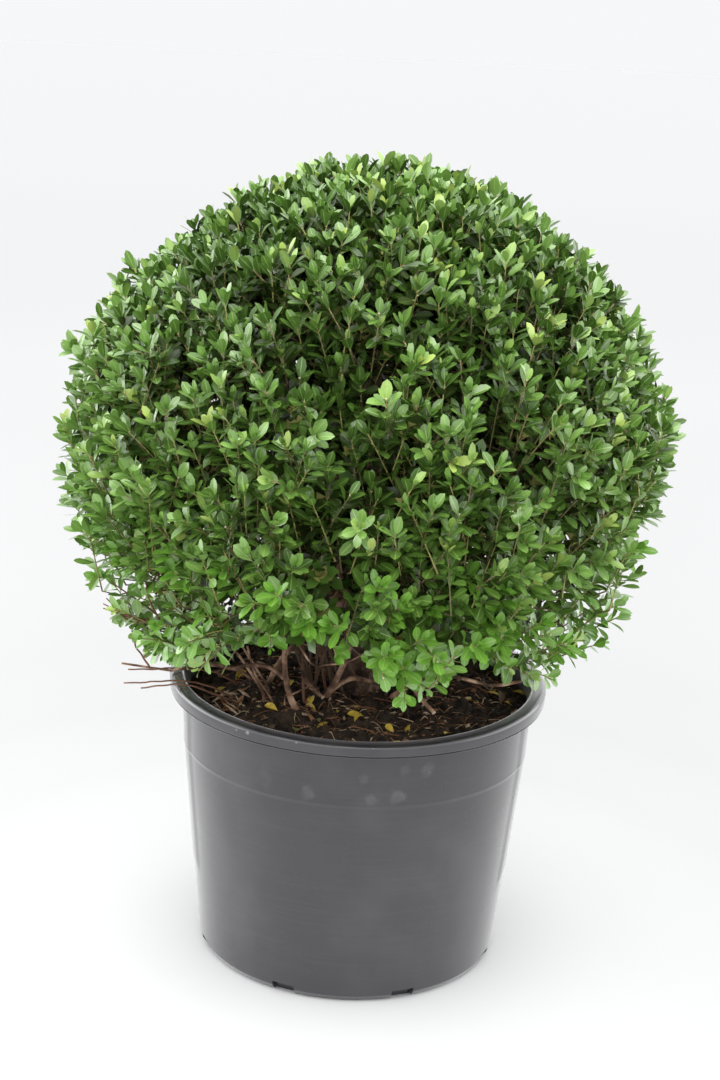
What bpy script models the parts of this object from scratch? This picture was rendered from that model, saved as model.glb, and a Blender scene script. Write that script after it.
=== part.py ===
"""A clipped ball of Japanese holly in its black nursery pot.

The pot, the soil in it, the trunk and stems, the boughs and the masses of foliage are
each one closed solid. Sizes are in metres, +Z is up, and the origin is the centre of
the pot's underside.
"""

import math
import random

import bmesh
import bpy
from mathutils import Vector
from mathutils.bvhtree import BVHTree

SEED = 16
CLEARANCE = 0.0003
UP = Vector((0.0, 0.0, 1.0))
GOLDEN_ANGLE = math.pi * (3.0 - math.sqrt(5.0))

# Pot
POT_SEGMENTS = 44
POT_HEIGHT = 0.296
POT_WALL = 0.0035
POT_FLOOR = 0.005
FOOT_RADIUS = 0.153
BODY_RADIUS = 0.1585
CHAMFER_HEIGHT = 0.007
SHOULDER_LOW = (0.1725, 0.206)
SHOULDER_HIGH = (0.1785, 0.222)
COLLAR_RADIUS = 0.1805
LIP_RADIUS = 0.1964
LIP_BOTTOM = 0.2785
LIP_ROUND = 0.006
LIP_EDGE = 0.0015
COLLAR_EDGE = 0.004
INNER_BEVEL = (0.004, 0.001, 0.002)
DRAIN_COUNT = 8
DRAIN_SIZE = (0.024, 0.022, 0.011)
DRAIN_OUT = 0.001
GRIP_HALF_ANGLE = math.radians(20.0)
GRIP_STEPS = 8
GRIP_RAISE = 0.0012
GRIP_SINK = 0.001
GRIP_BOTTOM = 0.085
GRIP_EASE = 0.02

# Soil
SOIL_EDGE = 0.271
SOIL_TOP = 0.277
SOIL_FLAT_RADIUS = 0.115
SOIL_BUMP = 0.0035
SOIL_SIDE_GAP = 0.0015
SOIL_RINGS = (0.160, 0.143, 0.128)
SOIL_MOUND = 0.003

# Crown: a ball with a steeper shoulder above its widest line than below it
CROWN_CENTRE = Vector((0.002, 0.0, 0.573))
CROWN_RADIUS = 0.307
CROWN_RISE = 0.258
CROWN_DROP = 0.357
CROWN_POWER_UP = 1.75
CROWN_POWER_DOWN = 2.13
CROWN_TILT = 0.119
LUMP_HEIGHT = 0.022
LUMP_WAVES = ((3.1, 1.7, 2.3), (4.7, -3.9, 1.3), (-2.6, 5.3, 4.1), (6.1, 2.2, -5.2))

# Foliage: each mass has a core, and shoots that stand out of it
CORE_SHARE = 0.82
CORE_INNER_SHARE = 0.52
CORE_FLOOR = 0.352
CORE_FLOOR_SLOPE = 0.55
CORE_FLOOR_REACH = 0.8
CORE_BUMP = 0.045
CORE_BUMP_SCALE = 11.0
FOLIAGE_FLOOR = 0.304
CELL_GAP = 0.0006
SHOOT_COUNT = 112
SHOOT_ROOT_SHARE = 0.74
SHOOT_FORK_SHARE = 0.84
SHOOT_TIP_SHARE = 0.935
SHOOT_LIFT = 0.30
TWIG_LEANS = (0.15, 0.9)
CROWN_MARGIN = 1.03
TWIG_RADIUS = 0.0024
TWIG_TAPER = 0.7
LEAF_LENGTH = 0.062
LEAF_WIDTH = 0.041
LEAF_THICKNESS = 0.0018
LEAF_FOLD = 0.0045
LEAF_TURNS = 10
LEAF_RISE = (0.05, 0.75)
LEAF_ROOT = 0.0012
LEAF_WIDEST = 0.58
LEAF_SIZES = (0.85, 1.1)
LEAF_STEP = 0.09
LEAVES_PER_TWIG = (3, 3)
STEM_LENGTH = 0.02
STEM_DEPTH = 0.035
STEM_TAPER = 0.9

# Each mass: its name, and the azimuth and elevation of its middle, in degrees
MASSES = (
    ("top", 0.0, 90.0),
    ("upper_front_left", -116.0, 38.0),
    ("upper_front_right", -44.0, 38.0),
    ("upper_right", 28.0, 38.0),
    ("upper_back", 100.0, 38.0),
    ("upper_left", 172.0, 38.0),
    ("front", -80.0, -18.0),
    ("right", -8.0, -18.0),
    ("back_right", 64.0, -18.0),
    ("back_left", 136.0, -18.0),
    ("left", -152.0, -18.0),
)

# Trunk and boughs
TRUNK_BASE = Vector((0.004, 0.006, SOIL_TOP + CLEARANCE))
TRUNK_TOP = Vector((0.010, 0.010, 0.372))
TRUNK_PULLS = (TRUNK_BASE + UP * 0.03, TRUNK_TOP - UP * 0.03)
TRUNK_RADIUS = 0.019
TRUNK_TIP_RADIUS = 0.0125
TRUNK_FLARE = 0.45
BOUGH_TIP_RADIUS = 0.0048
BOUGH_RADIUS = 0.0070
BOUGH_ORIGIN = 0.422
UPPER_FORK = 0.352
LOWER_FORK = 0.322
BOUGH_FLARE = 0.25
STEM_FLARE = 0.35

# Each stem that leaves the soil by itself: the mass it carries, its foot, its radius and the
# way that it leans where it leaves the soil
SOIL_STEMS = {
    "left": (Vector((-0.058, -0.080, SOIL_TOP + CLEARANCE)), 0.0052, Vector((-0.56, -0.12, 0.82))),
    "front": (Vector((-0.034, -0.042, SOIL_TOP + CLEARANCE)), 0.0054, Vector((0.50, 0.04, 0.865))),
}
BARE_FOOT = Vector((-0.108, -0.020, SOIL_TOP + CLEARANCE))
BARE_REST = Vector((-0.192, -0.030, POT_HEIGHT + 0.0016))
BARE_END = Vector((-0.243, -0.034, 0.3045))
BARE_LIFT = 0.03
BARE_PULL = Vector((0.03, 0.0, 0.012))
BARE_RADIUS = 0.0030
BARE_TAPER = 0.6
BARE_STEPS = 7

COLOURS = {
    "pot": ((0.070, 0.068, 0.072), 0.42),
    "soil": ((0.045, 0.028, 0.018), 0.95),
    "bark": ((0.210, 0.150, 0.105), 0.85),
    "foliage": ((0.060, 0.150, 0.035), 0.45),
}


def clear_scene():
    for obj in list(bpy.data.objects):
        bpy.data.objects.remove(obj, do_unlink=True)


def material(name):
    """One Principled material for each kind of surface, made once."""
    found = bpy.data.materials.get(name)
    if found:
        return found
    colour, roughness = COLOURS[name]
    made = bpy.data.materials.new(name)
    made.use_nodes = True
    shader = made.node_tree.nodes["Principled BSDF"]
    shader.inputs["Base Color"].default_value = (*colour, 1.0)
    shader.inputs["Roughness"].default_value = roughness
    shader.inputs["Metallic"].default_value = 0.0
    return made


def add_object(name, bm, slot, collection=None):
    """Writes bm to a new object with that material, its faces pointing out."""
    bmesh.ops.recalc_face_normals(bm, faces=bm.faces)
    mesh = bpy.data.meshes.new(name)
    bm.to_mesh(mesh)
    bm.free()
    mesh.materials.append(material(slot))
    obj = bpy.data.objects.new(name, mesh)
    (collection or bpy.context.scene.collection).objects.link(obj)
    return obj


def ring_faces(bm, rings):
    """Joins closed rings of equal length, one after another, and caps both ends."""
    count = len(rings[0])
    for low, high in zip(rings, rings[1:]):
        for i in range(count):
            j = (i + 1) % count
            bm.faces.new((low[i], low[j], high[j], high[i]))
    bm.faces.new(list(reversed(rings[0])))
    bm.faces.new(rings[-1])


def turned(profile, lift=None):
    """A bmesh turned about Z. The profile runs from the axis outwards and back to it."""
    bm = bmesh.new()
    first = bm.verts.new((0.0, 0.0, profile[0][1]))
    last = bm.verts.new((0.0, 0.0, profile[-1][1]))
    rings = []
    for radius, height in profile[1:-1]:
        ring = []
        for i in range(POT_SEGMENTS):
            angle = 2.0 * math.pi * i / POT_SEGMENTS
            point = Vector((radius * math.cos(angle), radius * math.sin(angle), height))
            if lift:
                point.z += lift(point)
            ring.append(bm.verts.new(point))
        rings.append(ring)
    for low, high in zip(rings, rings[1:]):
        for i in range(POT_SEGMENTS):
            j = (i + 1) % POT_SEGMENTS
            bm.faces.new((low[i], low[j], high[j], high[i]))
    for i in range(POT_SEGMENTS):
        j = (i + 1) % POT_SEGMENTS
        bm.faces.new((first, rings[0][j], rings[0][i]))
        bm.faces.new((last, rings[-1][i], rings[-1][j]))
    return bm


def arc(centre, radius, start, end, steps):
    """Points of an arc in the profile's plane, with its angles in degrees."""
    points = []
    for i in range(steps + 1):
        angle = math.radians(start + (end - start) * i / steps)
        points.append((centre[0] + radius * math.cos(angle), centre[1] + radius * math.sin(angle)))
    return points


def pot_inner_profile(inset):
    """The wall's inner face from the floor to under the lip, set in by inset."""
    wall = POT_WALL + inset
    return [
        (BODY_RADIUS - wall, POT_FLOOR + inset),
        (SHOULDER_LOW[0] - wall, SHOULDER_LOW[1]),
        (SHOULDER_HIGH[0] - wall, SHOULDER_HIGH[1]),
    ]


def make_pot():
    lip_centre = (LIP_RADIUS - LIP_ROUND, POT_HEIGHT - LIP_ROUND)
    inner_edge = COLLAR_RADIUS - POT_WALL
    outer = [
        (0.0, 0.0),
        (FOOT_RADIUS, 0.0),
        (BODY_RADIUS, CHAMFER_HEIGHT),
        SHOULDER_LOW,
        SHOULDER_HIGH,
        (COLLAR_RADIUS, LIP_BOTTOM - COLLAR_EDGE),
        (LIP_RADIUS - LIP_EDGE, LIP_BOTTOM),
        (LIP_RADIUS, LIP_BOTTOM + LIP_EDGE),
    ]
    top = arc(lip_centre, LIP_ROUND, 0.0, 90.0, 3)
    wide, narrow, drop = INNER_BEVEL
    inner_top = [
        (inner_edge + wide, POT_HEIGHT),
        (inner_edge + narrow, POT_HEIGHT - drop),
        (inner_edge, LIP_BOTTOM + LIP_ROUND),
    ]
    inner = list(reversed(pot_inner_profile(0.0))) + [(0.0, POT_FLOOR)]
    pot = add_object("pot", turned(outer + top + inner_top + inner), "pot")
    for side in (0, 1):
        join(pot, grip_panel(side * math.pi), "grip")
    for i in range(DRAIN_COUNT):
        cut(pot, drain_cutter((i + 0.5) * 2.0 * math.pi / DRAIN_COUNT), "drain")
    return pot


def body_radius_at(height):
    """The body's outer radius between the chamfer and the shoulder, and on the collar."""
    line = [(BODY_RADIUS, CHAMFER_HEIGHT), SHOULDER_LOW, SHOULDER_HIGH]
    line.append((COLLAR_RADIUS, LIP_BOTTOM))
    for (low_r, low_z), (high_r, high_z) in zip(line, line[1:]):
        if height <= high_z:
            share = (height - low_z) / (high_z - low_z)
            return low_r + share * (high_r - low_r)
    return COLLAR_RADIUS


def grip_panel(middle):
    """A raised panel on one side, under the lip, thin at its foot and sunk in the wall."""
    bm = bmesh.new()
    heights = (GRIP_BOTTOM, GRIP_BOTTOM + GRIP_EASE, SHOULDER_LOW[1], SHOULDER_HIGH[1])
    heights += (LIP_BOTTOM - GRIP_SINK,)
    raises = (CLEARANCE, GRIP_RAISE, GRIP_RAISE, GRIP_RAISE, GRIP_RAISE)
    rings = []
    for i in range(GRIP_STEPS + 1):
        angle = middle + GRIP_HALF_ANGLE * (2.0 * i / GRIP_STEPS - 1.0)
        outer = [(body_radius_at(z) + up, z) for z, up in zip(heights, raises)]
        inner = [(radius - GRIP_RAISE - GRIP_SINK, z) for radius, z in reversed(outer)]
        points = [(r * math.cos(angle), r * math.sin(angle), z) for r, z in outer + inner]
        rings.append([bm.verts.new(point) for point in points])
    ring_faces(bm, rings)
    return add_object("grip_panel", bm, "pot")


def drain_cutter(angle):
    """A box over the corner of wall and floor, where water drains."""
    bm = bmesh.new()
    bmesh.ops.create_cube(bm, size=1.0)
    length, width, height = DRAIN_SIZE
    bmesh.ops.scale(bm, vec=(width, length, 2.0 * height), verts=bm.verts)
    cutter = add_object("drain_cutter", bm, "pot")
    reach = BODY_RADIUS + DRAIN_OUT
    cutter.location = (reach * math.cos(angle), reach * math.sin(angle), 0.0)
    cutter.rotation_euler = (0.0, 0.0, angle)
    return cutter


def apply_boolean(obj, operation, name, operand=None, collection=None, solver="EXACT"):
    """Adds a Boolean, applies it through the evaluated mesh and drops the modifier."""
    modifier = obj.modifiers.new(name, "BOOLEAN")
    modifier.operation = operation
    modifier.solver = solver
    if collection:
        modifier.operand_type = "COLLECTION"
        modifier.collection = collection
    else:
        modifier.object = operand
    bpy.context.view_layer.update()
    graph = bpy.context.evaluated_depsgraph_get()
    mesh = bpy.data.meshes.new_from_object(obj.evaluated_get(graph))
    obj.modifiers.remove(modifier)
    mesh.name = obj.name
    obj.data = mesh


def keep_largest(obj):
    """Drops loose scraps, and the shells of hollows that the union sealed."""
    bm = bmesh.new()
    bm.from_mesh(obj.data)
    left = set(bm.verts)
    groups = []
    while left:
        group, edge = set(), [left.pop()]
        while edge:
            vert = edge.pop()
            group.add(vert)
            for link in vert.link_edges:
                other = link.other_vert(vert)
                if other in left:
                    left.discard(other)
                    edge.append(other)
        groups.append(group)
    largest = max(groups, key=len)
    loose = [vert for group in groups if group is not largest for vert in group]
    bmesh.ops.delete(bm, geom=loose, context="VERTS")
    bm.to_mesh(obj.data)
    bm.free()


def join(obj, other, name):
    apply_boolean(obj, "UNION", name, operand=other)
    bpy.data.objects.remove(other, do_unlink=True)


def cut(obj, cutter, name):
    apply_boolean(obj, "DIFFERENCE", name, operand=cutter)
    bpy.data.objects.remove(cutter, do_unlink=True)


def soil_lift(point):
    """Low bumps on the rings between the wall and the flat middle where the stems stand."""
    radius = math.hypot(point.x, point.y) + CLEARANCE
    if point.z < SOIL_EDGE + CLEARANCE or radius < SOIL_RINGS[-1]:
        return 0.0
    wave = math.sin(97.0 * point.x + 1.0) * math.cos(83.0 * point.y)
    return SOIL_BUMP * (0.6 * wave + 0.4 * math.sin(190.0 * (point.x - point.y)))


def make_soil():
    edge = COLLAR_RADIUS - POT_WALL - SOIL_SIDE_GAP
    profile = [(0.0, POT_FLOOR + CLEARANCE)] + pot_inner_profile(CLEARANCE) + [(edge, SOIL_EDGE)]
    profile += [(radius, SOIL_EDGE + SOIL_MOUND) for radius in SOIL_RINGS]
    profile += [(SOIL_FLAT_RADIUS - SOIL_MOUND, SOIL_TOP), (0.0, SOIL_TOP)]
    return add_object("soil", turned(profile, soil_lift), "soil")


def tilted(vector, angle):
    """The vector turned about Y, which leans the crown to +X."""
    cosine, sine = math.cos(angle), math.sin(angle)
    return Vector((cosine * vector.x + sine * vector.z, vector.y, cosine * vector.z - sine * vector.x))


def crown_reach(direction):
    """How far the crown's outline lies from its centre in a unit direction."""
    d = tilted(direction, -CROWN_TILT)
    flat = math.hypot(d.x, d.y)
    tall, power = (CROWN_RISE, CROWN_POWER_UP) if d.z > 0 else (CROWN_DROP, CROWN_POWER_DOWN)
    reach = ((flat / CROWN_RADIUS) ** power + (abs(d.z) / tall) ** power) ** (-1.0 / power)
    lump = sum(math.sin(direction.dot(Vector(wave)) + 0.7 * i) for i, wave in enumerate(LUMP_WAVES))
    return reach * (1.0 + LUMP_HEIGHT * lump / len(LUMP_WAVES))


def heading(azimuth, elevation):
    a, e = math.radians(azimuth), math.radians(elevation)
    return Vector((math.cos(a) * math.cos(e), math.sin(a) * math.cos(e), math.sin(e)))


def cell_walls(index, headings):
    """The normals of the planes through the crown's centre that bound a mass's space."""
    own = headings[index]
    return [(own - other).normalized() for i, other in enumerate(headings) if i != index]


def in_cell(points, walls, margin=0.0):
    """True where every point keeps to the mass's own space and above the pot."""
    for point in points:
        if point.z < FOLIAGE_FLOOR + margin:
            return False
        offset = point - CROWN_CENTRE
        if min(wall.dot(offset) for wall in walls) < CELL_GAP + margin:
            return False
    return True


def slice_off(bm, point, normal):
    """Cuts away what lies beyond the plane and closes the cut."""
    geometry = bm.verts[:] + bm.edges[:] + bm.faces[:]
    done = bmesh.ops.bisect_plane(
        bm, geom=geometry, plane_co=point, plane_no=normal, clear_outer=True, dist=1e-6
    )
    edges = [e for e in done["geom_cut"] if isinstance(e, bmesh.types.BMEdge)]
    if edges:
        bmesh.ops.contextual_create(bm, geom=edges)


def core_bump(direction):
    """Small lumps of the core, so that it reads as packed twigs and not as a shell."""
    d = direction * CORE_BUMP_SCALE
    return 1.0 + CORE_BUMP * math.sin(d.x + 2.0 * d.z) * math.sin(1.7 * d.y - d.x) * math.cos(1.3 * d.z)


def make_core(name, own, walls):
    """The part of the shrunken crown in a mass's space, hollow towards the trunk."""
    bm = bmesh.new()
    bmesh.ops.create_icosphere(bm, subdivisions=3, radius=1.0)
    for vert in bm.verts:
        direction = vert.co.normalized()
        vert.co = CROWN_CENTRE + direction * crown_reach(direction) * CORE_SHARE * core_bump(direction)
    for wall in walls:
        slice_off(bm, CROWN_CENTRE + wall * CELL_GAP, -wall)
    inner = CROWN_CENTRE + own * crown_reach(own) * CORE_INNER_SHARE
    slice_off(bm, inner, -own)
    out = Vector((own.x, own.y, 0.0))
    skirt = out.normalized() * CROWN_RADIUS * CORE_SHARE * CORE_FLOOR_REACH + UP * CORE_FLOOR
    slice_off(bm, skirt, -UP - out * CORE_FLOOR_SLOPE)
    bmesh.ops.triangulate(bm, faces=bm.faces)
    return add_object(name, bm, "foliage")


def bezier(start, start_pull, end_pull, end, share):
    rest = 1.0 - share
    return (
        start * rest**3
        + start_pull * 3.0 * rest**2 * share
        + end_pull * 3.0 * rest * share**2
        + end * share**3
    )


def limb_mesh(path, radii, sides, first_cut=None, last_cut=None):
    """A tapering tube along a path. first_cut and last_cut are the end planes' normals."""
    bm = bmesh.new()
    rings = []
    across = None
    for i, point in enumerate(path):
        before, after = path[max(i - 1, 0)], path[min(i + 1, len(path) - 1)]
        along = (after - before).normalized()
        seed = across if across else (UP if abs(along.z) < 0.8 else Vector((1.0, 0.0, 0.0)))
        across = (seed - along * seed.dot(along)).normalized()
        third = along.cross(across)
        plane = first_cut if i == 0 else last_cut if i == len(path) - 1 else None
        ring = []
        for k in range(sides):
            angle = 2.0 * math.pi * k / sides
            offset = (across * math.cos(angle) + third * math.sin(angle)) * radii[i]
            if plane:
                offset -= along * (offset.dot(plane) / along.dot(plane))
            ring.append(bm.verts.new(point + offset))
        rings.append(ring)
    ring_faces(bm, rings)
    return bm


def taper(first, last, count, flare=0.0):
    """Radii from first to last, with a flare that dies out over the first quarter."""
    radii = []
    for i in range(count):
        share = i / (count - 1)
        radii.append((first + (last - first) * share**0.8) * (1.0 + flare * math.exp(-9.0 * share)))
    return radii


def limb(name, ends, pulls, radii, rings, sides, cuts=(None, None), flare=0.0):
    """One bough or stem on a cubic curve, as an object of bark."""
    points = [bezier(ends[0], pulls[0], pulls[1], ends[1], i / (rings - 1)) for i in range(rings)]
    widths = taper(radii[0], radii[1], rings, flare)
    return add_object(name, limb_mesh(points, widths, sides, *cuts), "bark")


def entry_of(own):
    """Where a mass's stem starts, and the way that it runs into the core."""
    face = CROWN_CENTRE + own * crown_reach(own) * CORE_INNER_SHARE
    along = (face - UP * BOUGH_ORIGIN).normalized()
    return face - along * STEM_LENGTH, along


def make_trunk():
    radii = (TRUNK_RADIUS, TRUNK_TIP_RADIUS)
    return limb("trunk", (TRUNK_BASE, TRUNK_TOP), TRUNK_PULLS, radii, 8, 16, (UP, UP), TRUNK_FLARE)


def trunk_at(height):
    """The trunk's axis and radius at a height."""
    share = (height - TRUNK_BASE.z) / (TRUNK_TOP.z - TRUNK_BASE.z)
    axis = bezier(TRUNK_BASE, *TRUNK_PULLS, TRUNK_TOP, share)
    flared = 1.0 + TRUNK_FLARE * math.exp(-9.0 * share)
    return axis, (TRUNK_RADIUS + (TRUNK_TIP_RADIUS - TRUNK_RADIUS) * share**0.8) * flared


def fork_foot(height, out):
    """Where a bough's flat foot stands on the trunk, clear of the bark all over."""
    axis, _ = trunk_at(height)
    spread = BOUGH_RADIUS * (1.0 + BOUGH_FLARE)
    reach = 0.0
    for level in (height - spread, height, height + spread):
        centre, radius = trunk_at(level)
        reach = max(reach, (centre - axis).dot(out) + radius)
    return axis + out * (reach + 2.0 * CLEARANCE)


def make_bough(name, own):
    """A bough from the trunk, or from the soil, to 0.3 mm short of its mass's stem."""
    entry, along = entry_of(own)
    end = entry - along * CLEARANCE
    span = (end - TRUNK_BASE).length
    if name in SOIL_STEMS:
        foot, radius, lean = SOIL_STEMS[name]
        pulls = (foot + lean * span * 0.3, end - along * span * 0.45)
        cuts, flare, kind = (UP, along), STEM_FLARE, "stem"
    elif name == "top":
        foot, radius = TRUNK_TOP + UP * CLEARANCE, TRUNK_TIP_RADIUS * 0.9
        pulls = (foot + UP * 0.03, end - along * span * 0.2)
        cuts, flare, kind = (UP, along), 0.0, "bough"
    else:
        height = UPPER_FORK if own.z > 0 else LOWER_FORK
        out = Vector((own.x, own.y, 0.0)).normalized()
        foot, radius = fork_foot(height, out), BOUGH_RADIUS
        pulls = (foot + (out + UP * 0.8) * span * 0.25, end - along * span * 0.3)
        cuts, flare, kind = (out, along), BOUGH_FLARE, "bough"
    return limb(f"{kind}_{name}", (foot, end), pulls, (radius, BOUGH_TIP_RADIUS), 8, 7, cuts, flare)


def make_bare_branch():
    """A leafless cut branch that leaves the soil and lies over the lip on the left."""
    pulls = (BARE_FOOT + UP * BARE_LIFT, BARE_REST + BARE_PULL)
    points = [bezier(BARE_FOOT, *pulls, BARE_REST, i / BARE_STEPS) for i in range(BARE_STEPS)]
    points += [BARE_REST.lerp(BARE_END, i / 3) for i in range(4)]
    widths = taper(BARE_RADIUS, BARE_RADIUS * BARE_TAPER, len(points))
    return add_object("bare_branch", limb_mesh(points, widths, 7, UP), "bark")


def leaf_mesh(root, along, face, length):
    """A thin closed blade: two halves folded up along the midrib, over a keel."""
    side = along.cross(face).normalized() * 0.5 * LEAF_WIDTH * length / LEAF_LENGTH
    middle = root + along * length * LEAF_WIDEST
    fold = face * LEAF_FOLD
    bm = bmesh.new()
    base = bm.verts.new(root)
    tip = bm.verts.new(root + along * length)
    left = bm.verts.new(middle + side + fold)
    right = bm.verts.new(middle - side + fold)
    keel = bm.verts.new(middle - face * LEAF_THICKNESS)
    bm.faces.new((base, left, tip))
    bm.faces.new((base, tip, right))
    for corner in (left, right):
        bm.faces.new((base, corner, keel))
        bm.faces.new((tip, corner, keel))
    return bm


def add_twig(start, end, walls, taken, collection):
    """A three-sided twig that keeps to the mass's space, and its search tree."""
    if not in_cell((start, end), walls, TWIG_RADIUS):
        return None
    bm = limb_mesh([start, end], [TWIG_RADIUS, TWIG_RADIUS * TWIG_TAPER], 3)
    taken.append(BVHTree.FromBMesh(bm))
    add_object("twig", bm, "foliage", collection)
    return taken[-1]


def perpendicular(axis, angle):
    """A unit vector across an axis, turned about it by an angle."""
    seed = UP if abs(axis.z) < 0.8 else Vector((1.0, 0.0, 0.0))
    across = (seed - axis * seed.dot(axis)).normalized()
    return across * math.cos(angle) + axis.cross(across) * math.sin(angle)


def grow_shoot(direction, walls, taken, collection, rng):
    """One shoot: a twig out of the core, a side twig from its middle, and their leaves."""
    reach = crown_reach(direction)
    root = CROWN_CENTRE + direction * reach * SHOOT_ROOT_SHARE
    fork = CROWN_CENTRE + direction * reach * SHOOT_FORK_SHARE
    axis = (direction + UP * SHOOT_LIFT).normalized()
    turn = rng.uniform(0.0, 2.0 * math.pi)
    for start, lean, leaves in zip((root, fork), TWIG_LEANS, LEAVES_PER_TWIG):
        along = (axis + perpendicular(axis, turn) * lean).normalized()
        tip = fork + along * reach * (SHOOT_TIP_SHARE - SHOOT_FORK_SHARE)
        turn += math.pi
        own = add_twig(start, tip, walls, taken, collection)
        if own is None:
            continue
        for k in range(leaves):
            joint = tip.lerp(start, LEAF_STEP * (leaves - k))
            around = turn + k * GOLDEN_ANGLE
            add_leaf(joint, (tip - start).normalized(), around, own, walls, taken, collection, rng)


def add_leaf(joint, along, turn, own, walls, taken, collection, rng):
    """A leaf on its own twig, turned about it until it stands free, or none."""
    length = LEAF_LENGTH * rng.uniform(*LEAF_SIZES)
    for attempt in range(LEAF_TURNS):
        around = perpendicular(along, turn + attempt * GOLDEN_ANGLE)
        out = (along * rng.uniform(*LEAF_RISE) + around).normalized()
        face = (along - out * along.dot(out)).normalized()
        bm = leaf_mesh(joint - out * LEAF_ROOT, out, face, length)
        tree = BVHTree.FromBMesh(bm)
        offsets = [vert.co - CROWN_CENTRE for vert in bm.verts]
        share = max(offset.length / crown_reach(offset.normalized()) for offset in offsets)
        free = not any(tree.overlap(other) for other in taken if other is not own)
        if free and share < CROWN_MARGIN and in_cell([vert.co for vert in bm.verts], walls):
            taken.append(tree)
            add_object("leaf", bm, "foliage", collection)
            return
        bm.free()


def lattice(count):
    """Directions spread evenly over the sphere along a golden spiral."""
    for i in range(count):
        height = 1.0 - 2.0 * (i + 0.5) / count
        flat = math.sqrt(1.0 - height * height)
        yield Vector((flat * math.cos(i * GOLDEN_ANGLE), flat * math.sin(i * GOLDEN_ANGLE), height))


def make_mass(index, headings, rng):
    """A mass of foliage: core, stem, shoots and leaves, fused into one solid."""
    name = f"foliage_{MASSES[index][0]}"
    own, walls = headings[index], cell_walls(index, headings)
    core = make_core(name, own, walls)
    parts = bpy.data.collections.new(name + "_parts")
    bpy.context.scene.collection.children.link(parts)
    entry, along = entry_of(own)
    ends = [entry, entry + along * (STEM_LENGTH + STEM_DEPTH)]
    radii = [BOUGH_TIP_RADIUS, BOUGH_TIP_RADIUS * STEM_TAPER]
    add_object("stem", limb_mesh(ends, radii, 7), "foliage", parts)
    taken = []
    for direction in lattice(SHOOT_COUNT):
        if max(range(len(headings)), key=lambda i: headings[i].dot(direction)) == index:
            grow_shoot(direction, walls, taken, parts, rng)
    apply_boolean(core, "UNION", "fuse", collection=parts)
    for obj in list(parts.objects):
        bpy.data.objects.remove(obj, do_unlink=True)
    bpy.data.collections.remove(parts)
    keep_largest(core)
    return core


def shade(obj):
    """Smooth shading, with sharp edges where faces meet at more than 35 degrees."""
    obj.data.shade_smooth()
    obj.data.set_sharp_from_angle(angle=math.radians(35.0))


def main():
    clear_scene()
    rng = random.Random(SEED)
    headings = [heading(azimuth, elevation) for _, azimuth, elevation in MASSES]
    shade(make_pot())
    make_soil()
    shade(make_trunk())
    for (name, _, _), own in zip(MASSES, headings):
        shade(make_bough(name, own))
    shade(make_bare_branch())
    for index in range(len(MASSES)):
        make_mass(index, headings, rng)


main()
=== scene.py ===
"""The looks of a clipped ball of Japanese holly in its black nursery pot.

Each mass of foliage is grown again here by the rule of the solids: shoots on a golden
lattice inside the same crown, carried by twigs that fork from the end of the mass's bough.
Sizes are in metres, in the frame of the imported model, or in millimetres where a comment
says so.
"""

import math

import bpy
import numpy as np
from mathutils import Matrix, Vector


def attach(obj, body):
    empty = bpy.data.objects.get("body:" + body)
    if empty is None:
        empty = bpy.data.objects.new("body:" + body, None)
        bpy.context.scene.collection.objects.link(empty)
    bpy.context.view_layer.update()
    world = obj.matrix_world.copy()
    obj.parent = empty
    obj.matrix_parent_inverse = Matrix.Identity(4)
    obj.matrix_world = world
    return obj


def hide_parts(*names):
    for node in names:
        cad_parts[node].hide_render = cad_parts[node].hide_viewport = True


SEED = 7
MM = 0.001
TINY = 1e-9
TURN = 2.0 * math.pi
GOLDEN_ANGLE = math.pi * (3.0 - math.sqrt(5.0))
UP = np.array((0.0, 0.0, 1.0))
LEVEL = np.array((1.0, 1.0, 0.0))
CLEARANCE = 0.0003

# Camera, fitted to the photograph's 720 x 1080 frame
CAMERA_PLACE = (-0.005, -1.8005, 0.944)
CAMERA_PITCH = math.radians(15.68)
CAMERA_ROLL = math.radians(2.83)
CAMERA_LENS = 60.9
SENSOR_WIDTH = 36.0

# Soft lamps: place, sides and power in watts
LAMPS = (
    ("overhead", (-0.2, -0.6, 2.6), (2.4, 2.4), 44.0),
    ("rim_left", (-2.2, 0.3, 0.52), (3.0, 1.2), 32.0),
    ("rim_right", (2.2, 0.3, 0.65), (3.0, 1.2), 19.0),
)
LAMP_TARGET = Vector((0.0, 0.0, 0.45))
WORLD_COLOUR = (0.985, 0.99, 1.0)
WORLD_STRENGTH = 1.5
WORLD_SEEN = 0.944
# The floor's grey at distances from the pot, in metres, so that it meets the backdrop unseen
# lighter near the pot as painted light against the shade of pot and crown, darker out to about a metre as
# painted shade where the lamps fall strongest
FLOOR_PAINTED_LIGHT_GREYS = (
    (0.25, 0.675), (0.4, 0.58), (0.5, 0.515), (0.7, 0.458),
    (0.95, 0.445), (1.7, 0.475), (3.3, 0.556), (10.0, 0.582),
)
FLOOR_REACH = 60.0

# Pot
POT_SEGMENTS = 224
POT_STEP = 0.009
POT_HEIGHT = 0.296
POT_WALL = 0.0035
POT_FLOOR = 0.005
FOOT_RADIUS = 0.153
BODY_RADIUS = 0.1585
CHAMFER_HEIGHT = 0.007
SHOULDER_LOW = (0.1779, 0.219)
SHOULDER_HIGH = (0.1785, 0.222)
COLLAR_RADIUS = 0.1805
LIP_RADIUS = 0.1964
LIP_BOTTOM = 0.2785
CORNER_STEPS = 6
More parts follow.
